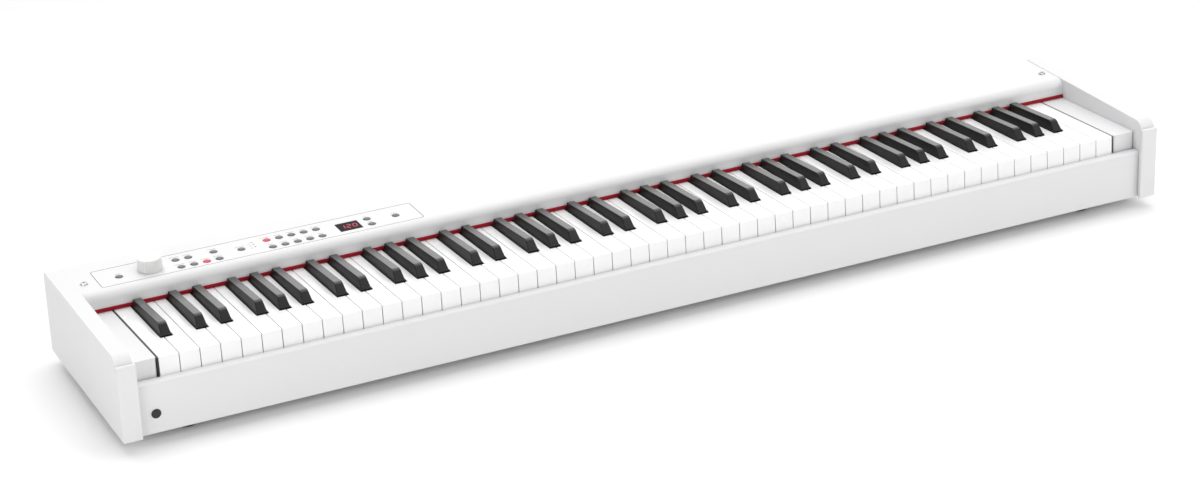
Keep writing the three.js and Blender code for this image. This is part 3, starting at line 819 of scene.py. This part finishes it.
class PIANO_OT_back_and_base(bpy.types.Operator):
    """Model the rear panel, the bottom board and the feet"""
    bl_idname = "piano.back_and_base"
    bl_label = "Back and base"

    def execute(self, context):
        self.rear_panel()
        self.bottom_board()
        self.feet()
        return {"FINISHED"}

    def rear_panel(self):
        sheet = add_block("back_sheet", *span("rear_panel"))
        soften(sheet, 0.5 * MM)
        dress(sheet, FINISHES["case"], stands_for=["rear_panel"])
        low, high = span("socket_plate")
        plate = add_block("back_socket_plate", low, high)
        holes = []
        for name, places in socket_places().items():
            radius = (REAR_SOCKETS[name][1] + 0.3) * MM
            for x, z in places:
                holes.append(add_disc("hole", (x, high.y + 5 * MM, z), radius, 15 * MM, 48, "Y"))
        subtract(plate, holes)
        soften(plate, 0.4 * MM)
        dress(plate, FINISHES["case"], stands_for=["socket_plate"])

    def bottom_board(self):
        board = add_block("base_board", *span("bottom_board"))
        soften(board, 0.8 * MM)
        dress(board, FINISHES["board"], stands_for=["bottom_board"])

    def feet(self):
        for end in ("front", "rear"):
            for side in ("left", "right"):
                name = f"{end}_{side}_foot"
                low, high = span(name)
                centre = (low + high) / 2
                radius = (high.x - low.x) / 2
                foot = add_disc(f"{name}_pad", (centre.x, centre.y, low.z), radius, high.z - low.z)
                with Shaping(foot) as shape:
                    shape.faces((0, 0, 1))
                    shape.shrink((0.9, 0.9, 1))
                    shape.faces((0, 0, -1))
                    bpy.ops.mesh.inset(thickness=FOOT_RIM)
                    shape.extrude((0, 0, FOOT_HOLLOW))
                soften(foot, 1.0 * MM, 3)
                dress(foot, FINISHES["rubber"], stands_for=[name])


class PIANO_OT_felt(bpy.types.Operator):
    """Model the felt strip behind the keys"""
    bl_idname = "piano.felt"
    bl_label = "Felt strip"

    def execute(self, context):
        low = Vector((CHEEK_INSIDE, LIP_Y - 1.2 * MM, FELT_BOTTOM))
        high = Vector((RIGHT_INSIDE, LIP_Y + 1.5 * MM, FELT_TOP))
        strip = add_block("felt_ribbon", low, high)
        with Shaping(strip) as shape:
            bpy.ops.mesh.select_all(action="SELECT")
            bpy.ops.mesh.subdivide(number_cuts=3)
            shape.pick("VERT", lambda v: low.z + 0.5 * MM < v.co.z < high.z - 0.5 * MM
                       and v.co.y < low.y + 0.1 * MM)
            shape.slide((0, -0.2 * MM, 0))
        soften(strip, 0.5 * MM, 3)
        dress(strip, FINISHES["felt"], stands_for=["felt_strip"])
        return {"FINISHED"}


# ---- Keys ----


def letter_of(index):
    return LETTERS[index % 7]


def key_edge(index):
    return FIRST_EDGE + index * KEY_PITCH


def has_black(index):
    return 0 <= index < WHITE_KEYS - 1 and letter_of(index) in BLACK_SHIFT


def black_centre(index):
    return key_edge(index + 1) + BLACK_SHIFT[letter_of(index)]


def key_node(colour, x):
    """The frame's key or set of keys of one colour at a place along the keyboard."""
    for node in frame["nodes"]:
        if node.startswith(f"{colour}_key") and corner(node, 0).x < x < corner(node, 1).x:
            return node
    raise ValueError(f"no {colour} key at {x}")


def first_time(node, seen):
    """The node in a list the first time it comes up, and an empty list after that."""
    fresh = [] if node in seen else [node]
    seen.add(node)
    return fresh


def model_white_key(name, stick_left, stick_right):
    """A white key from x = 0 across: a closed head, and a stick past the black keys."""
    width = KEY_PITCH - KEY_GAP
    side_depth = 14 * MM
    front_round = 1.3 * MM
    key = add_block(name, (0, 0, -KEY_DEPTH), (width, KEY_HEAD, 0))
    with Shaping(key) as shape:
        for x in (stick_left, stick_right):
            if 0.1 * MM < x < width - 0.1 * MM:
                shape.cut((x, 0, 0), (1, 0, 0))
        shape.cut((0, 0, -side_depth), (0, 0, 1))
        shape.cut((0, 0, -KEY_STICK), (0, 0, 1))
        shape.faces((0, 1, 0), lambda p: stick_left < p.x < stick_right and p.z > -side_depth)
        shape.extrude((0, KEY_SHOWN - KEY_HEAD, 0))
        shape.faces((0, 1, 0), lambda p: p.y > KEY_SHOWN - MM and p.z > -KEY_STICK)
        shape.extrude((0, KEY_LENGTH - KEY_SHOWN, 0))
        shape.tidy()
        shape.pick("EDGE", lambda e: edge_runs(e, 0) and edge_middle(e).y < 0.1 * MM
                   and edge_middle(e).z > -0.1 * MM)
        shape.round(front_round, 4)
    soften(key, bpy.context.scene.piano_finish.key_edge)
    return key


def model_black_key(name):
    """A black key around x = 0: a flange between the whites and a leaning, tapered cap."""
    half = BLACK_WIDTH / 2
    narrow = 4.5 * MM
    flange = 0.75 * MM
    flange_top = 1.2 * MM
    stem_top = -10.5 * MM
    cap_rise = 11.3 * MM
    cap_width = 9.4 * MM
    front_lean = 10.2 * MM
    back_drop = 3.4 * MM
    key = add_block(name, (-half, BLACK_FRONT, -BLACK_DEPTH), (half, BLACK_BACK, flange_top))
    with Shaping(key) as shape:
        for x in (-narrow, narrow):
            shape.cut((x, 0, 0), (1, 0, 0))
        shape.cut((0, 0, stem_top), (0, 0, 1))
        shape.faces((0, 1, 0), lambda p: abs(p.x) < narrow and p.z < stem_top)
        shape.extrude((0, KEY_LENGTH - BLACK_BACK, 0))
        shape.tidy()
        shape.faces((0, 0, 1), lambda p: p.z > 0)
        bpy.ops.mesh.inset(thickness=flange)
        shape.faces((0, 0, 1), lambda p: p.z > 0 and abs(p.x) < MM and BLACK_FRONT + MM < p.y)
        shape.extrude((0, 0, cap_rise))
        shape.shrink((cap_width / (BLACK_WIDTH - 2 * flange), 1, 1))
        shape.pick("VERT", lambda v: v.co.z > 5 * MM and v.co.y < BLACK_FRONT + 5 * MM)
        shape.slide((0, front_lean, 0))
        shape.pick("VERT", lambda v: v.co.z > 5 * MM and v.co.y > BLACK_BACK - 5 * MM)
        shape.slide((0, 0.2 * MM, -back_drop))
        shape.pick("EDGE", lambda e: edge_runs(e, 0) and edge_middle(e).z > 9 * MM
                   and edge_middle(e).y < BLACK_BACK - 20 * MM)
        shape.round(3 * MM, 6)
        shape.pick("EDGE", lambda e: edge_middle(e).z > 3 * MM
                   and abs(edge_middle(e).x) > 4 * MM)
        shape.round(0.75 * MM, 4)
    soften(key, 0.25 * MM)
    return key


class PIANO_OT_white_keys(bpy.types.Operator):
    """Model one white key of each shape and lay them all out"""
    bl_idname = "piano.white_keys"
    bl_label = "White keys"

    def execute(self, context):
        patterns = {}
        seen = set()
        for index in range(WHITE_KEYS):
            left = key_edge(index) + KEY_GAP / 2
            pattern = self.pattern_of(index, left)
            if pattern not in patterns:
                patterns[pattern] = model_white_key("white key pattern", *pattern)
            place = KEY_PLACE @ Matrix.Translation((left, 0, 0))
            key = copy_of(patterns[pattern], f"white_key_{index + 1:02d}_top", place)
            node = key_node("white", left + KEY_PITCH / 2)
            dress(key, FINISHES["white_key"], node, first_time(node, seen))
        for pattern in patterns.values():
            bpy.data.objects.remove(pattern)
        return {"FINISHED"}

    @staticmethod
    def pattern_of(index, left):
        """Where the stick starts and ends across the key, between its black neighbours."""
        reach = BLACK_WIDTH / 2 + BLACK_SIDE_GAP
        start = black_centre(index - 1) + reach - left if has_black(index - 1) else 0.0
        end = black_centre(index) - reach - left if has_black(index) else KEY_PITCH - KEY_GAP
        return round(start, 6), round(end, 6)


class PIANO_OT_black_keys(bpy.types.Operator):
    """Model one black key and lay them all out"""
    bl_idname = "piano.black_keys"
    bl_label = "Black keys"

    def execute(self, context):
        pattern = model_black_key("black key pattern")
        seen = set()
        for index in filter(has_black, range(WHITE_KEYS)):
            x = black_centre(index)
            place = KEY_PLACE @ Matrix.Translation((x, 0, 0))
            key = copy_of(pattern, f"black_key_{index + 1:02d}_cap", place)
            node = key_node("black", x)
            dress(key, FINISHES["black_key"], node, first_time(node, seen))
        bpy.data.objects.remove(pattern)
        return {"FINISHED"}


# ---- Controls ----

POINTER_ANGLE = 230  # of the knob's rib at its lowest, in degrees from +X
DIGIT_PITCH = 7.6 * MM
DIGIT_SLANT = 0.12
LABEL_RISE = 7.3  # of a label above its button, in mm
MARK_SHARE = 0.62  # of a printed bar's step that is ink
PRINT_SUNK, PRINT_RISE = 0.02, 0.06  # of the ink below and above its surface, in mm
LAMP_X, LAMP_ROWS = 213.5, (32, 38.5, 45)
SMALL_SCREW = (2.9 * MM, 1.5 * MM, 2.5 * MM)  # radius, rise and shank


class PIANO_OT_buttons(bpy.types.Operator):
    """Model a domed button and set one in every hole"""
    bl_idname = "piano.buttons"
    bl_label = "Buttons"

    def execute(self, context):
        pattern = self.model_button()
        for node, places in BUTTON_SETS.items():
            for number, (x, y) in enumerate(places, 1):
                place = Matrix.Translation(on_panel(x, y))
                cap = copy_of(pattern, f"{node}_cap_{number}", place)
                lit = any(abs(x - a) < 1 and abs(y - b) < 1 for a, b in LIT_BUTTONS)
                dress(cap, FINISHES["lit" if lit else "button"], node,
                      [node] if number == 1 else [])
        bpy.data.objects.remove(pattern)
        return {"FINISHED"}

    @staticmethod
    def model_button():
        """A round cap whose top swells into a dome, ring by ring."""
        depth = 9 * MM
        cap = add_disc("button pattern", (0, 0, 0.15 * MM - depth), BUTTON_RADIUS, depth, 48)
        reach, rise = 1.0, 0.0
        with Shaping(cap) as shape:
            shape.faces((0, 0, 1))
            for next_reach, next_rise in BUTTON_DOME:
                bpy.ops.mesh.inset(thickness=(reach - next_reach) * BUTTON_RADIUS)
                shape.slide((0, 0, (next_rise - rise) * MM))
                reach, rise = next_reach, next_rise
        take(cap)
        bpy.ops.object.shade_smooth_by_angle(angle=math.radians(60))
        return cap


class PIANO_OT_knob(bpy.types.Operator):
    """Model the volume knob and the thin pointer rib on its side"""
    bl_idname = "piano.knob"
    bl_label = "Volume knob"

    def execute(self, context):
        low, high = span("volume_knob")
        centre = (low + high) / 2
        radius = (high.x - low.x) / 2
        bottom = PANEL_TOP + 0.4 * MM
        border, wall, hollow, spindle = 2.2 * MM, 1.5 * MM, 3 * MM, 3.2 * MM
        knob = add_disc("volume_cap", (centre.x, centre.y, bottom), radius, high.z - bottom, 96)
        with Shaping(knob) as shape:
            shape.faces((0, 0, 1))
            shape.shrink((0.95, 0.95, 1))
            bpy.ops.mesh.inset(thickness=border)
            shape.slide((0, 0, -0.4 * MM))
            shape.faces((0, 0, -1))
            bpy.ops.mesh.inset(thickness=wall)
            shape.extrude((0, 0, hollow))
            bpy.ops.mesh.inset(thickness=radius - wall - spindle)
            shape.extrude((0, 0, low.z - bottom - hollow))
            shape.pick("EDGE", lambda e: all(v.co.z > high.z - 0.1 * MM for v in e.verts)
                       and (edge_middle(e) - centre).xy.length > radius * 0.9)
            shape.round(1.0 * MM, 5)
        soften(knob, 0.25 * MM, 2, 35)
        dress(knob, FINISHES["knob"], "volume_knob", ["volume_knob"])
        self.pointer(centre, radius, bottom, high.z)
        return {"FINISHED"}

    def pointer(self, centre, radius, bottom, top):
        """A rib down the side, at seven o'clock when the volume is lowest."""
        half = 0.55 * MM
        rib = add_block("volume_pointer", (radius * 0.9, -half, bottom + MM),
                        (radius + 0.45 * MM, half, top - 0.9 * MM))
        with Shaping(rib) as shape:
            shape.pick("VERT", lambda v: v.co.z > (bottom + top) / 2)
            shape.slide((-0.045 * radius, 0, 0))
        soften(rib, 0.2 * MM)
        turn = Matrix.Rotation(math.radians(POINTER_ANGLE), 4, "Z")
        rib.data.transform(Matrix.Translation((centre.x, centre.y, 0)) @ turn)
        dress(rib, FINISHES["pale"], "volume_knob")


# Each segment's place, in halves of the digit's width and height, and whether it stands.
SEGMENTS = {
    "top": (0, 1, 0), "middle": (0, 0, 0), "bottom": (0, -1, 0),
    "upper_left": (-1, 0.5, 1), "upper_right": (1, 0.5, 1),
    "lower_left": (-1, -0.5, 1), "lower_right": (1, -0.5, 1),
}
DIGIT_SEGMENTS = {
    1: ("upper_right", "lower_right"),
    2: ("top", "upper_right", "middle", "lower_left", "bottom"),
    0: ("top", "upper_right", "lower_right", "bottom", "lower_left", "upper_left"),
}


class PIANO_OT_display(bpy.types.Operator):
    """Model the display window and its three glowing digits"""
    bl_idname = "piano.display"
    bl_label = "Display"

    def execute(self, context):
        low, high = span("display_window")
        window = add_block("display_glass", low, high)
        soften(window, 0.4 * MM, 3)
        dress(window, FINISHES["glass"], stands_for=["display_window"])
        pattern = self.model_segment()
        centre = (low + high) / 2
        half_width, half_height = 2.2 * MM, 4.2 * MM
        for place, digit in enumerate((1, 2, 0)):
            middle_x = centre.x + (place - 1) * DIGIT_PITCH
            for name, (across, up, turned) in SEGMENTS.items():
                spot = Vector((middle_x + across * half_width + up * half_height * DIGIT_SLANT,
                               centre.y + up * half_height, high.z))
                turn = Matrix.Rotation(math.radians(90), 4, "Z") if turned else Matrix.Identity(4)
                segment = copy_of(pattern, f"digit_{place + 1}_{name}",
                                  Matrix.Translation(spot) @ turn)
                lit = name in DIGIT_SEGMENTS[digit]
                dress(segment, FINISHES["digit" if lit else "unlit"])
        bpy.data.objects.remove(pattern)
        return {"FINISHED"}

    @staticmethod
    def model_segment():
        """A flat bar with pointed ends, lying along X."""
        half, thick = 1.4 * MM, 0.5 * MM
        bar = add_block("segment pattern", (-half, -thick, -0.02 * MM), (half, thick, 0.06 * MM))
        with Shaping(bar) as shape:
            for side in (-1, 1):
                shape.faces((side, 0, 0))
                shape.extrude((side * thick, 0, 0))
                shape.shrink((1, 0.15, 1))
        return bar


class PIANO_OT_panel_print(bpy.types.Operator):
    """Lay down the printed outline and the small marks beside the controls"""
    bl_idname = "piano.panel_print"
    bl_label = "Panel print"

    def execute(self, context):
        self.outline()
        bars = []
        for node, places in BUTTON_SETS.items():
            length = {"tone_buttons": 10, "function_buttons": 12}.get(node, 6)
            for number, (x, y) in enumerate(places):
                bars += self.label(x, y + LABEL_RISE, length - (number * 3) % 4)
        bars += self.label(77.4, 18.7, 3.5) + self.label(98.6, 18.8, 4)
        bars += [self.bar(209, y, 2.6, 0.7) for y in (30, 36.5, 43)]
        self.lamps()
        marks = join(bars, "panel_marks")
        dress(marks, FINISHES["ink"])
        return {"FINISHED"}

    def lamps(self):
        """Three small lamps in a column beside the tone buttons."""
        pattern = add_disc("lamp pattern", (0, 0, -0.5 * MM), 0.95 * MM, 0.7 * MM, 32)
        soften(pattern, 0.25 * MM, 3, 60, flat=False)
        for number, y in enumerate(LAMP_ROWS, 1):
            place = Matrix.Translation(on_panel(LAMP_X, y))
            lamp = copy_of(pattern, f"tone_lamp_{number}", place)
            dress(lamp, FINISHES["lamp"])
        bpy.data.objects.remove(pattern)

    def bar(self, x, y, length, height):
        low = on_panel(x - length / 2, y - height / 2, -PRINT_SUNK)
        return add_block("mark", low, on_panel(x + length / 2, y + height / 2, PRINT_RISE))

    def label(self, x, y, length):
        """A row of small bars where a control's label would be."""
        count = max(2, round(length / 1.6))
        step = length / count
        return [self.bar(x - length / 2 + (i + 0.5) * step, y, step * MARK_SHARE, 0.75)
                for i in range(count)]

    def outline(self):
        low, high = on_panel(25.5, 12, -PRINT_SUNK), on_panel(414.5, 59.5, PRINT_RISE)
        line = add_block("panel_outline", low, high)
        with Shaping(line) as shape:
            shape.pick("EDGE", lambda e: edge_runs(e, 2))
            shape.round(4 * MM, 8)
            shape.pick("FACE", lambda f: abs(f.normal.z) > 0.9)
            bpy.ops.mesh.inset(thickness=0.7 * MM)
            bpy.ops.mesh.delete(type="FACE")
            shape.pick("EDGE", lambda e: e.is_boundary)
            bpy.ops.mesh.bridge_edge_loops()
            bpy.ops.mesh.select_all(action="SELECT")
            bpy.ops.mesh.normals_make_consistent(inside=False)
        dress(line, FINISHES["ink"])


def model_screw(radius, rise, shank):
    """A cross-head screw that stands on the origin and faces up."""
    screw = add_disc("screw pattern", (0, 0, 0), radius, rise * 0.75, 40)
    with Shaping(screw) as shape:
        shape.faces((0, 0, 1))
        shape.shrink((0.86, 0.86, 1))
        bpy.ops.mesh.inset(thickness=radius * 0.3)
        shape.slide((0, 0, rise * 0.25))
        shape.faces((0, 0, -1))
        bpy.ops.mesh.inset(thickness=radius * 0.55)
        shape.extrude((0, 0, -shank))
    for reach in ((0.55, 0.1), (0.1, 0.55)):
        side = Vector((*reach, 0)) * radius
        subtract(screw, [add_block("slot", Vector((0, 0, rise * 0.4)) - side,
                                   Vector((0, 0, rise * 1.5)) + side)])
    soften(screw, 0.15 * MM)
    return screw


class PIANO_OT_screws(bpy.types.Operator):
    """Model the cross-head screws of the top panel, the back and the base"""
    bl_idname = "piano.screws"
    bl_label = "Screws"

    def execute(self, context):
        low, high = span("left_panel_screw")
        large = model_screw((high.x - low.x) / 2, high.z - PANEL_TOP, PANEL_TOP - low.z)
        for side in ("left", "right"):
            name = f"{side}_panel_screw"
            spot = middle(name)
            screw = copy_of(large, f"{side}_screw_head",
                            Matrix.Translation((spot.x, spot.y, PANEL_TOP + 0.02 * MM)))
            dress(screw, FINISHES["steel"], stands_for=[name])
        small = model_screw(*SMALL_SCREW)
        for number, (spot, turn) in enumerate(self.small_places(), 1):
            place = Matrix.Translation(spot) @ Matrix.Rotation(math.radians(turn), 4, "X")
            dress(copy_of(small, f"small_screw_{number:02d}", place), FINISHES["steel"])
        bpy.data.objects.remove(large)
        bpy.data.objects.remove(small)
        return {"FINISHED"}

    @staticmethod
    def small_places():
        """Where the small screws stand, and how far each is turned about X."""
        back = corner("rear_panel", 1).y
        plate_end = corner("socket_plate", 1).x
        across = [CHEEK_INSIDE + 8 * MM, plate_end - 7 * MM, plate_end + 7 * MM, -0.14, 0.12,
                  0.38, RIGHT_INSIDE - 8 * MM]
        for x in across:
            for z in (36 * MM, 101 * MM):
                yield (x, back, z), -90
        under = corner("bottom_board", 0)
        for x in (-0.62, -0.31, 0.0, 0.31, 0.62):
            for y in (under.y + 9 * MM, back - 9 * MM):
                yield (x, y, under.z), 180


# ---- Sockets ----


# Each rear socket, in mm: how far its plugs stand to each side of its middle, the radius of
# its nose and of its bore, and the bore's depth.
REAR_SOCKETS = {
    "midi_sockets": (14, 8.2, 7.0, 10),
    "line_output_jacks": (11, 5.5, 3.3, 29),
    "pedal_jack": (0, 5.5, 3.3, 29),
    "power_inlet": (0, 5.5, 3.2, 11),
}


def socket_places():
    """Where each rear socket takes its plugs, as (x, z)."""
    places = {}
    for name, (reach, *_) in REAR_SOCKETS.items():
        centre = middle(name)
        sides = (-1, 1) if reach else (0,)
        places[name] = [(centre.x + side * reach * MM, centre.z) for side in sides]
    return places


def model_jack_ring(name, x, face_y, z, outer, bore, depth):
    """A socket's nose seen from the front: a rounded ring around a deep bore."""
    ring = add_disc(name, (x, face_y, z), outer, depth, 64, "Y")
    with Shaping(ring) as shape:
        shape.faces((0, -1, 0))
        bpy.ops.mesh.inset(thickness=(outer - bore) * 0.5)
        shape.slide((0, -0.3 * MM, 0))
        bpy.ops.mesh.inset(thickness=(outer - bore) * 0.5)
        shape.extrude((0, depth - 1.5 * MM, 0))
    soften(ring, 0.3 * MM, 3)
    return ring


def add_contact(name, x, near, z):
    """The spring leaf along the lower side of a jack's bore."""
    leaf = add_block(name, (x - 0.7 * MM, near, z - 3.4 * MM),
                     (x + 0.7 * MM, near + 11 * MM, z - 2.6 * MM))
    soften(leaf, 0.2 * MM)
    dress(leaf, FINISHES["turned"])


class PIANO_OT_rear_sockets(bpy.types.Operator):
    """Model the sockets at the back, with their nuts, contacts and marks"""
    bl_idname = "piano.rear_sockets"
    bl_label = "Rear sockets"

    def execute(self, context):
        face = corner("socket_plate", 1).y
        shoulder = corner("socket_plate", 0).y - 0.3 * MM
        marks = []
        for name, places in socket_places().items():
            _, nose, bore, depth = REAR_SOCKETS[name]
            screwed = name in ("line_output_jacks", "pedal_jack")
            end = face + (1.6 * MM if screwed else 0)
            low, high = span(name)
            block = add_block("block", low, (high.x, shoulder, high.z))
            subtract(block, [add_disc("bore", (x, face, z), bore * MM, depth * MM, 48, "Y")
                             for x, z in places])
            tubes = [add_tube("nose", (x, shoulder, z), nose * MM, bore * MM, end - shoulder)
                     for x, z in places]
            whole = join([block, *tubes], f"{name}_body")
            soften(whole, 0.3 * MM)
            dress(whole, FINISHES["socket"], stands_for=[name])
            for number, (x, z) in enumerate(places, 1):
                if name == "midi_sockets":
                    self.pin_insert(f"midi_insert_{number}", x, face - 2.4 * MM, z)
                elif name == "power_inlet":
                    self.power_pin(x, face - MM, z)
                else:
                    self.nut(f"{name}_nut_{number}", x, face, z)
                    add_contact(f"{name}_contact_{number}", x, face - 14 * MM, z)
                wide = 5 + 2 * number if name == "line_output_jacks" else 9
                marks += self.mark(x, face, z + 15 * MM, wide)
        dress(join(marks, "back_marks"), FINISHES["ink"])
        return {"FINISHED"}

    def pin_insert(self, name, x, y, z):
        """A round insert with five pin holes in an arc and a keyway above them."""
        insert = add_disc(name, (x, y, z), 6.9 * MM, 2.5 * MM, 64, "Y")
        holes = []
        for step in range(5):
            angle = math.radians(180 + 45 * step)
            spot = (x + 4.2 * MM * math.cos(angle), y + MM, z + 4.2 * MM * math.sin(angle))
            holes.append(add_disc("hole", spot, 0.8 * MM, 3 * MM, 24, "Y"))
        holes.append(add_block("keyway", (x - 1.3 * MM, y - 2 * MM, z + 5 * MM),
                               (x + 1.3 * MM, y + MM, z + 8 * MM)))
        subtract(insert, holes)
        soften(insert, 0.15 * MM)
        dress(insert, FINISHES["frame"])

    def power_pin(self, x, y, z):
        pin = add_disc("power_pin", (x, y, z), MM, 9.5 * MM, 24, "Y")
        soften(pin, 0.35 * MM, 3, 60, flat=False)
        dress(pin, FINISHES["turned"])

    def nut(self, name, x, face, z):
        nut = add_disc(name, (x, face + 1.2 * MM, z), 7 * MM, 1.2 * MM, 6, "Y")
        subtract(nut, [add_disc("hole", (x, face + 2 * MM, z), 5.45 * MM, 3 * MM, 64, "Y")])
        soften(nut, 0.2 * MM)
        dress(nut, FINISHES["steel"])

    def mark(self, x, face, z, length):
        """A row of small bars above a socket, where its label would be."""
        count = round(length / 1.5)
        step = length / count * MM
        made = []
        for number in range(count):
            left = x + (number - count / 2) * step
            made.append(add_block(
                "mark", (left, face - PRINT_SUNK * MM, z - 0.5 * MM),
                (left + MARK_SHARE * step, face + PRINT_RISE * MM, z + 0.5 * MM)))
        return made


class PIANO_OT_headphone_socket(bpy.types.Operator):
    """Model the headphone socket in the front rail"""
    bl_idname = "piano.headphone_socket"
    bl_label = "Headphone socket"

    def execute(self, context):
        centre = middle("headphone_jack")
        low, high = span("headphone_jack")
        front = low.y + 0.3 * MM
        depth = high.y - front
        body = model_jack_ring("headphone_barrel", centre.x, high.y, centre.z, 4.2 * MM,
                               3.3 * MM, depth)
        flange = model_jack_ring("flange", centre.x, corner("key_slip", 0).y - 0.1 * MM,
                                 centre.z, 5.5 * MM, 4.25 * MM, 0.8 * MM)
        whole = join([body, flange], "headphone_barrel")
        dress(whole, FINISHES["socket"], stands_for=["headphone_jack"])
        add_contact("headphone_contact", centre.x, front + 3 * MM, centre.z)
        return {"FINISHED"}


# ---- Stage ----

CAMERA_LENS = 92.365
CAMERA_PLACE = (-1.4392, -2.9880, 1.5374)
CAMERA_TURN = (65.708, 1.867, -26.046)
# Each light: its name, place, target, width, height and the setting that holds its power.
LIGHTS = (
    ("top light", (0.1, 0.2, 2.4), (0, 0, 0), 3.4, 2.0, "top_power"),
    ("front light", (1.9, -1.9, 1.6), (0.3, -0.1, 0.05), 2.4, 1.4, "front_power"),
    ("fill light", (-0.6, -2.4, 1.7), (0, -0.1, 0.05), 2.2, 0.9, "fill_power"),
    ("left light", (-1.7, -0.8, 0.45), (-0.66, -0.1, 0.06), 0.5, 0.5, "side_power"),
)
BACKDROP_SIDE = (0.2, 0.88, 0.43)


class PIANO_OT_stage(bpy.types.Operator):
    """Set the camera, the lights and the floor"""
    bl_idname = "piano.stage"
    bl_label = "Stage"

    def execute(self, context):
        self.camera()
        self.floor()
        self.lights(context.scene.piano_stage)
        self.surround(context.scene.piano_stage)
        context.scene.view_settings.view_transform = "Standard"
        return {"FINISHED"}

    def camera(self):
        data = bpy.data.cameras.new("product camera")
        data.lens = CAMERA_LENS
        data.sensor_width = 36
        camera = bpy.data.objects.new("product camera", data)
        bpy.context.collection.objects.link(camera)
        camera.location = CAMERA_PLACE
        camera.rotation_euler = [math.radians(angle) for angle in CAMERA_TURN]
        bpy.context.scene.camera = camera

    def floor(self):
        clear_selection()
        bpy.ops.mesh.primitive_plane_add(size=30, location=(0, 0, -0.0002))
        floor = settle("studio_floor")
        floor.data.materials.append(FINISHES["floor"])

    def lights(self, chosen):
        for *place, setting in LIGHTS:
            self.area(*place, getattr(chosen, setting))

    def area(self, name, place, target, width, height, power):
        data = bpy.data.lights.new(name, "AREA")
        data.shape = "RECTANGLE"
        data.size = width
        data.size_y = height
        data.energy = power
        light = bpy.data.objects.new(name, data)
        light.location = place
        aim = Vector(target) - Vector(place)
        light.rotation_euler = aim.to_track_quat("-Z", "Y").to_euler()
        bpy.context.collection.objects.link(light)

    def surround(self, chosen):
        """A pale studio all around, brighter above and behind the piano."""
        world = bpy.data.worlds.new("studio surround")
        world.use_nodes = True
        nodes = Nodes(world.node_tree)
        direction = nodes.node("ShaderNodeTexCoord", output="Generated")
        facing = nodes.node("ShaderNodeVectorMath", {"operation": "DOT_PRODUCT"},
                            {0: direction, 1: BACKDROP_SIDE}, output="Value")
        glow = nodes.math("MAXIMUM", facing, 0.0) ** 2
        background = world.node_tree.nodes["Background"]
        background.inputs["Color"].default_value = (1, 1, 1, 1)
        nodes.feed(background.inputs["Strength"],
                   chosen.sky_strength + chosen.backdrop_strength * glow)
        bpy.context.scene.world = world


class PIANO_OT_finishes(bpy.types.Operator):
    """Make every finish, and give the frame's inner pieces theirs"""
    bl_idname = "piano.finishes"
    bl_label = "Finishes"

    INNER = {
        "frame": ["key_frame"],
        "turned": ["key_hinge_rod"],
        "steel": ["volume_potentiometer"],
        "circuit": ["key_sensor_board", "main_board", "panel_board"],
    }

    def execute(self, context):
        make_finishes()
        for finish, nodes in self.INNER.items():
            for node in nodes:
                mesh = frame["nodes"][node].data
                mesh.materials.clear()
                mesh.materials.append(FINISHES[finish])
        return {"FINISHED"}


class PIANO_PT_sidebar(bpy.types.Panel):
    """Lists the piano's settings and steps"""
    bl_idname = "PIANO_PT_sidebar"
    bl_label = "Digital Piano"
    bl_space_type = "VIEW_3D"
    bl_region_type = "UI"
    bl_category = "Piano"

    def draw(self, context):
        for group in (context.scene.piano_finish, context.scene.piano_stage):
            for name in group.__annotations__:
                self.layout.prop(group, name)
        for step in STEPS:
            self.layout.operator(step.bl_idname)


STEPS = (
    PIANO_OT_finishes,
    PIANO_OT_stage,
    PIANO_OT_cheeks,
    PIANO_OT_front_rail,
    PIANO_OT_key_blocks,
    PIANO_OT_top_panel,
    PIANO_OT_back_and_base,
    PIANO_OT_felt,
    PIANO_OT_white_keys,
    PIANO_OT_black_keys,
    PIANO_OT_buttons,
    PIANO_OT_knob,
    PIANO_OT_display,
    PIANO_OT_panel_print,
    PIANO_OT_screws,
    PIANO_OT_headphone_socket,
    PIANO_OT_rear_sockets,
)
CLASSES = (PianoFinish, PianoStage, *STEPS, PIANO_PT_sidebar)


def register():
    for each in CLASSES:
        bpy.utils.register_class(each)
    bpy.types.Scene.piano_finish = bpy.props.PointerProperty(type=PianoFinish)
    bpy.types.Scene.piano_stage = bpy.props.PointerProperty(type=PianoStage)


def unregister():
    del bpy.types.Scene.piano_stage
    del bpy.types.Scene.piano_finish
    for each in reversed(CLASSES):
        bpy.utils.unregister_class(each)


def main():
    """Registers the add-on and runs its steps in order."""
    register()
    for step in STEPS:
        group, name = step.bl_idname.split(".")
        getattr(getattr(bpy.ops, group), name)()


if __name__ == "__main__":
    main()
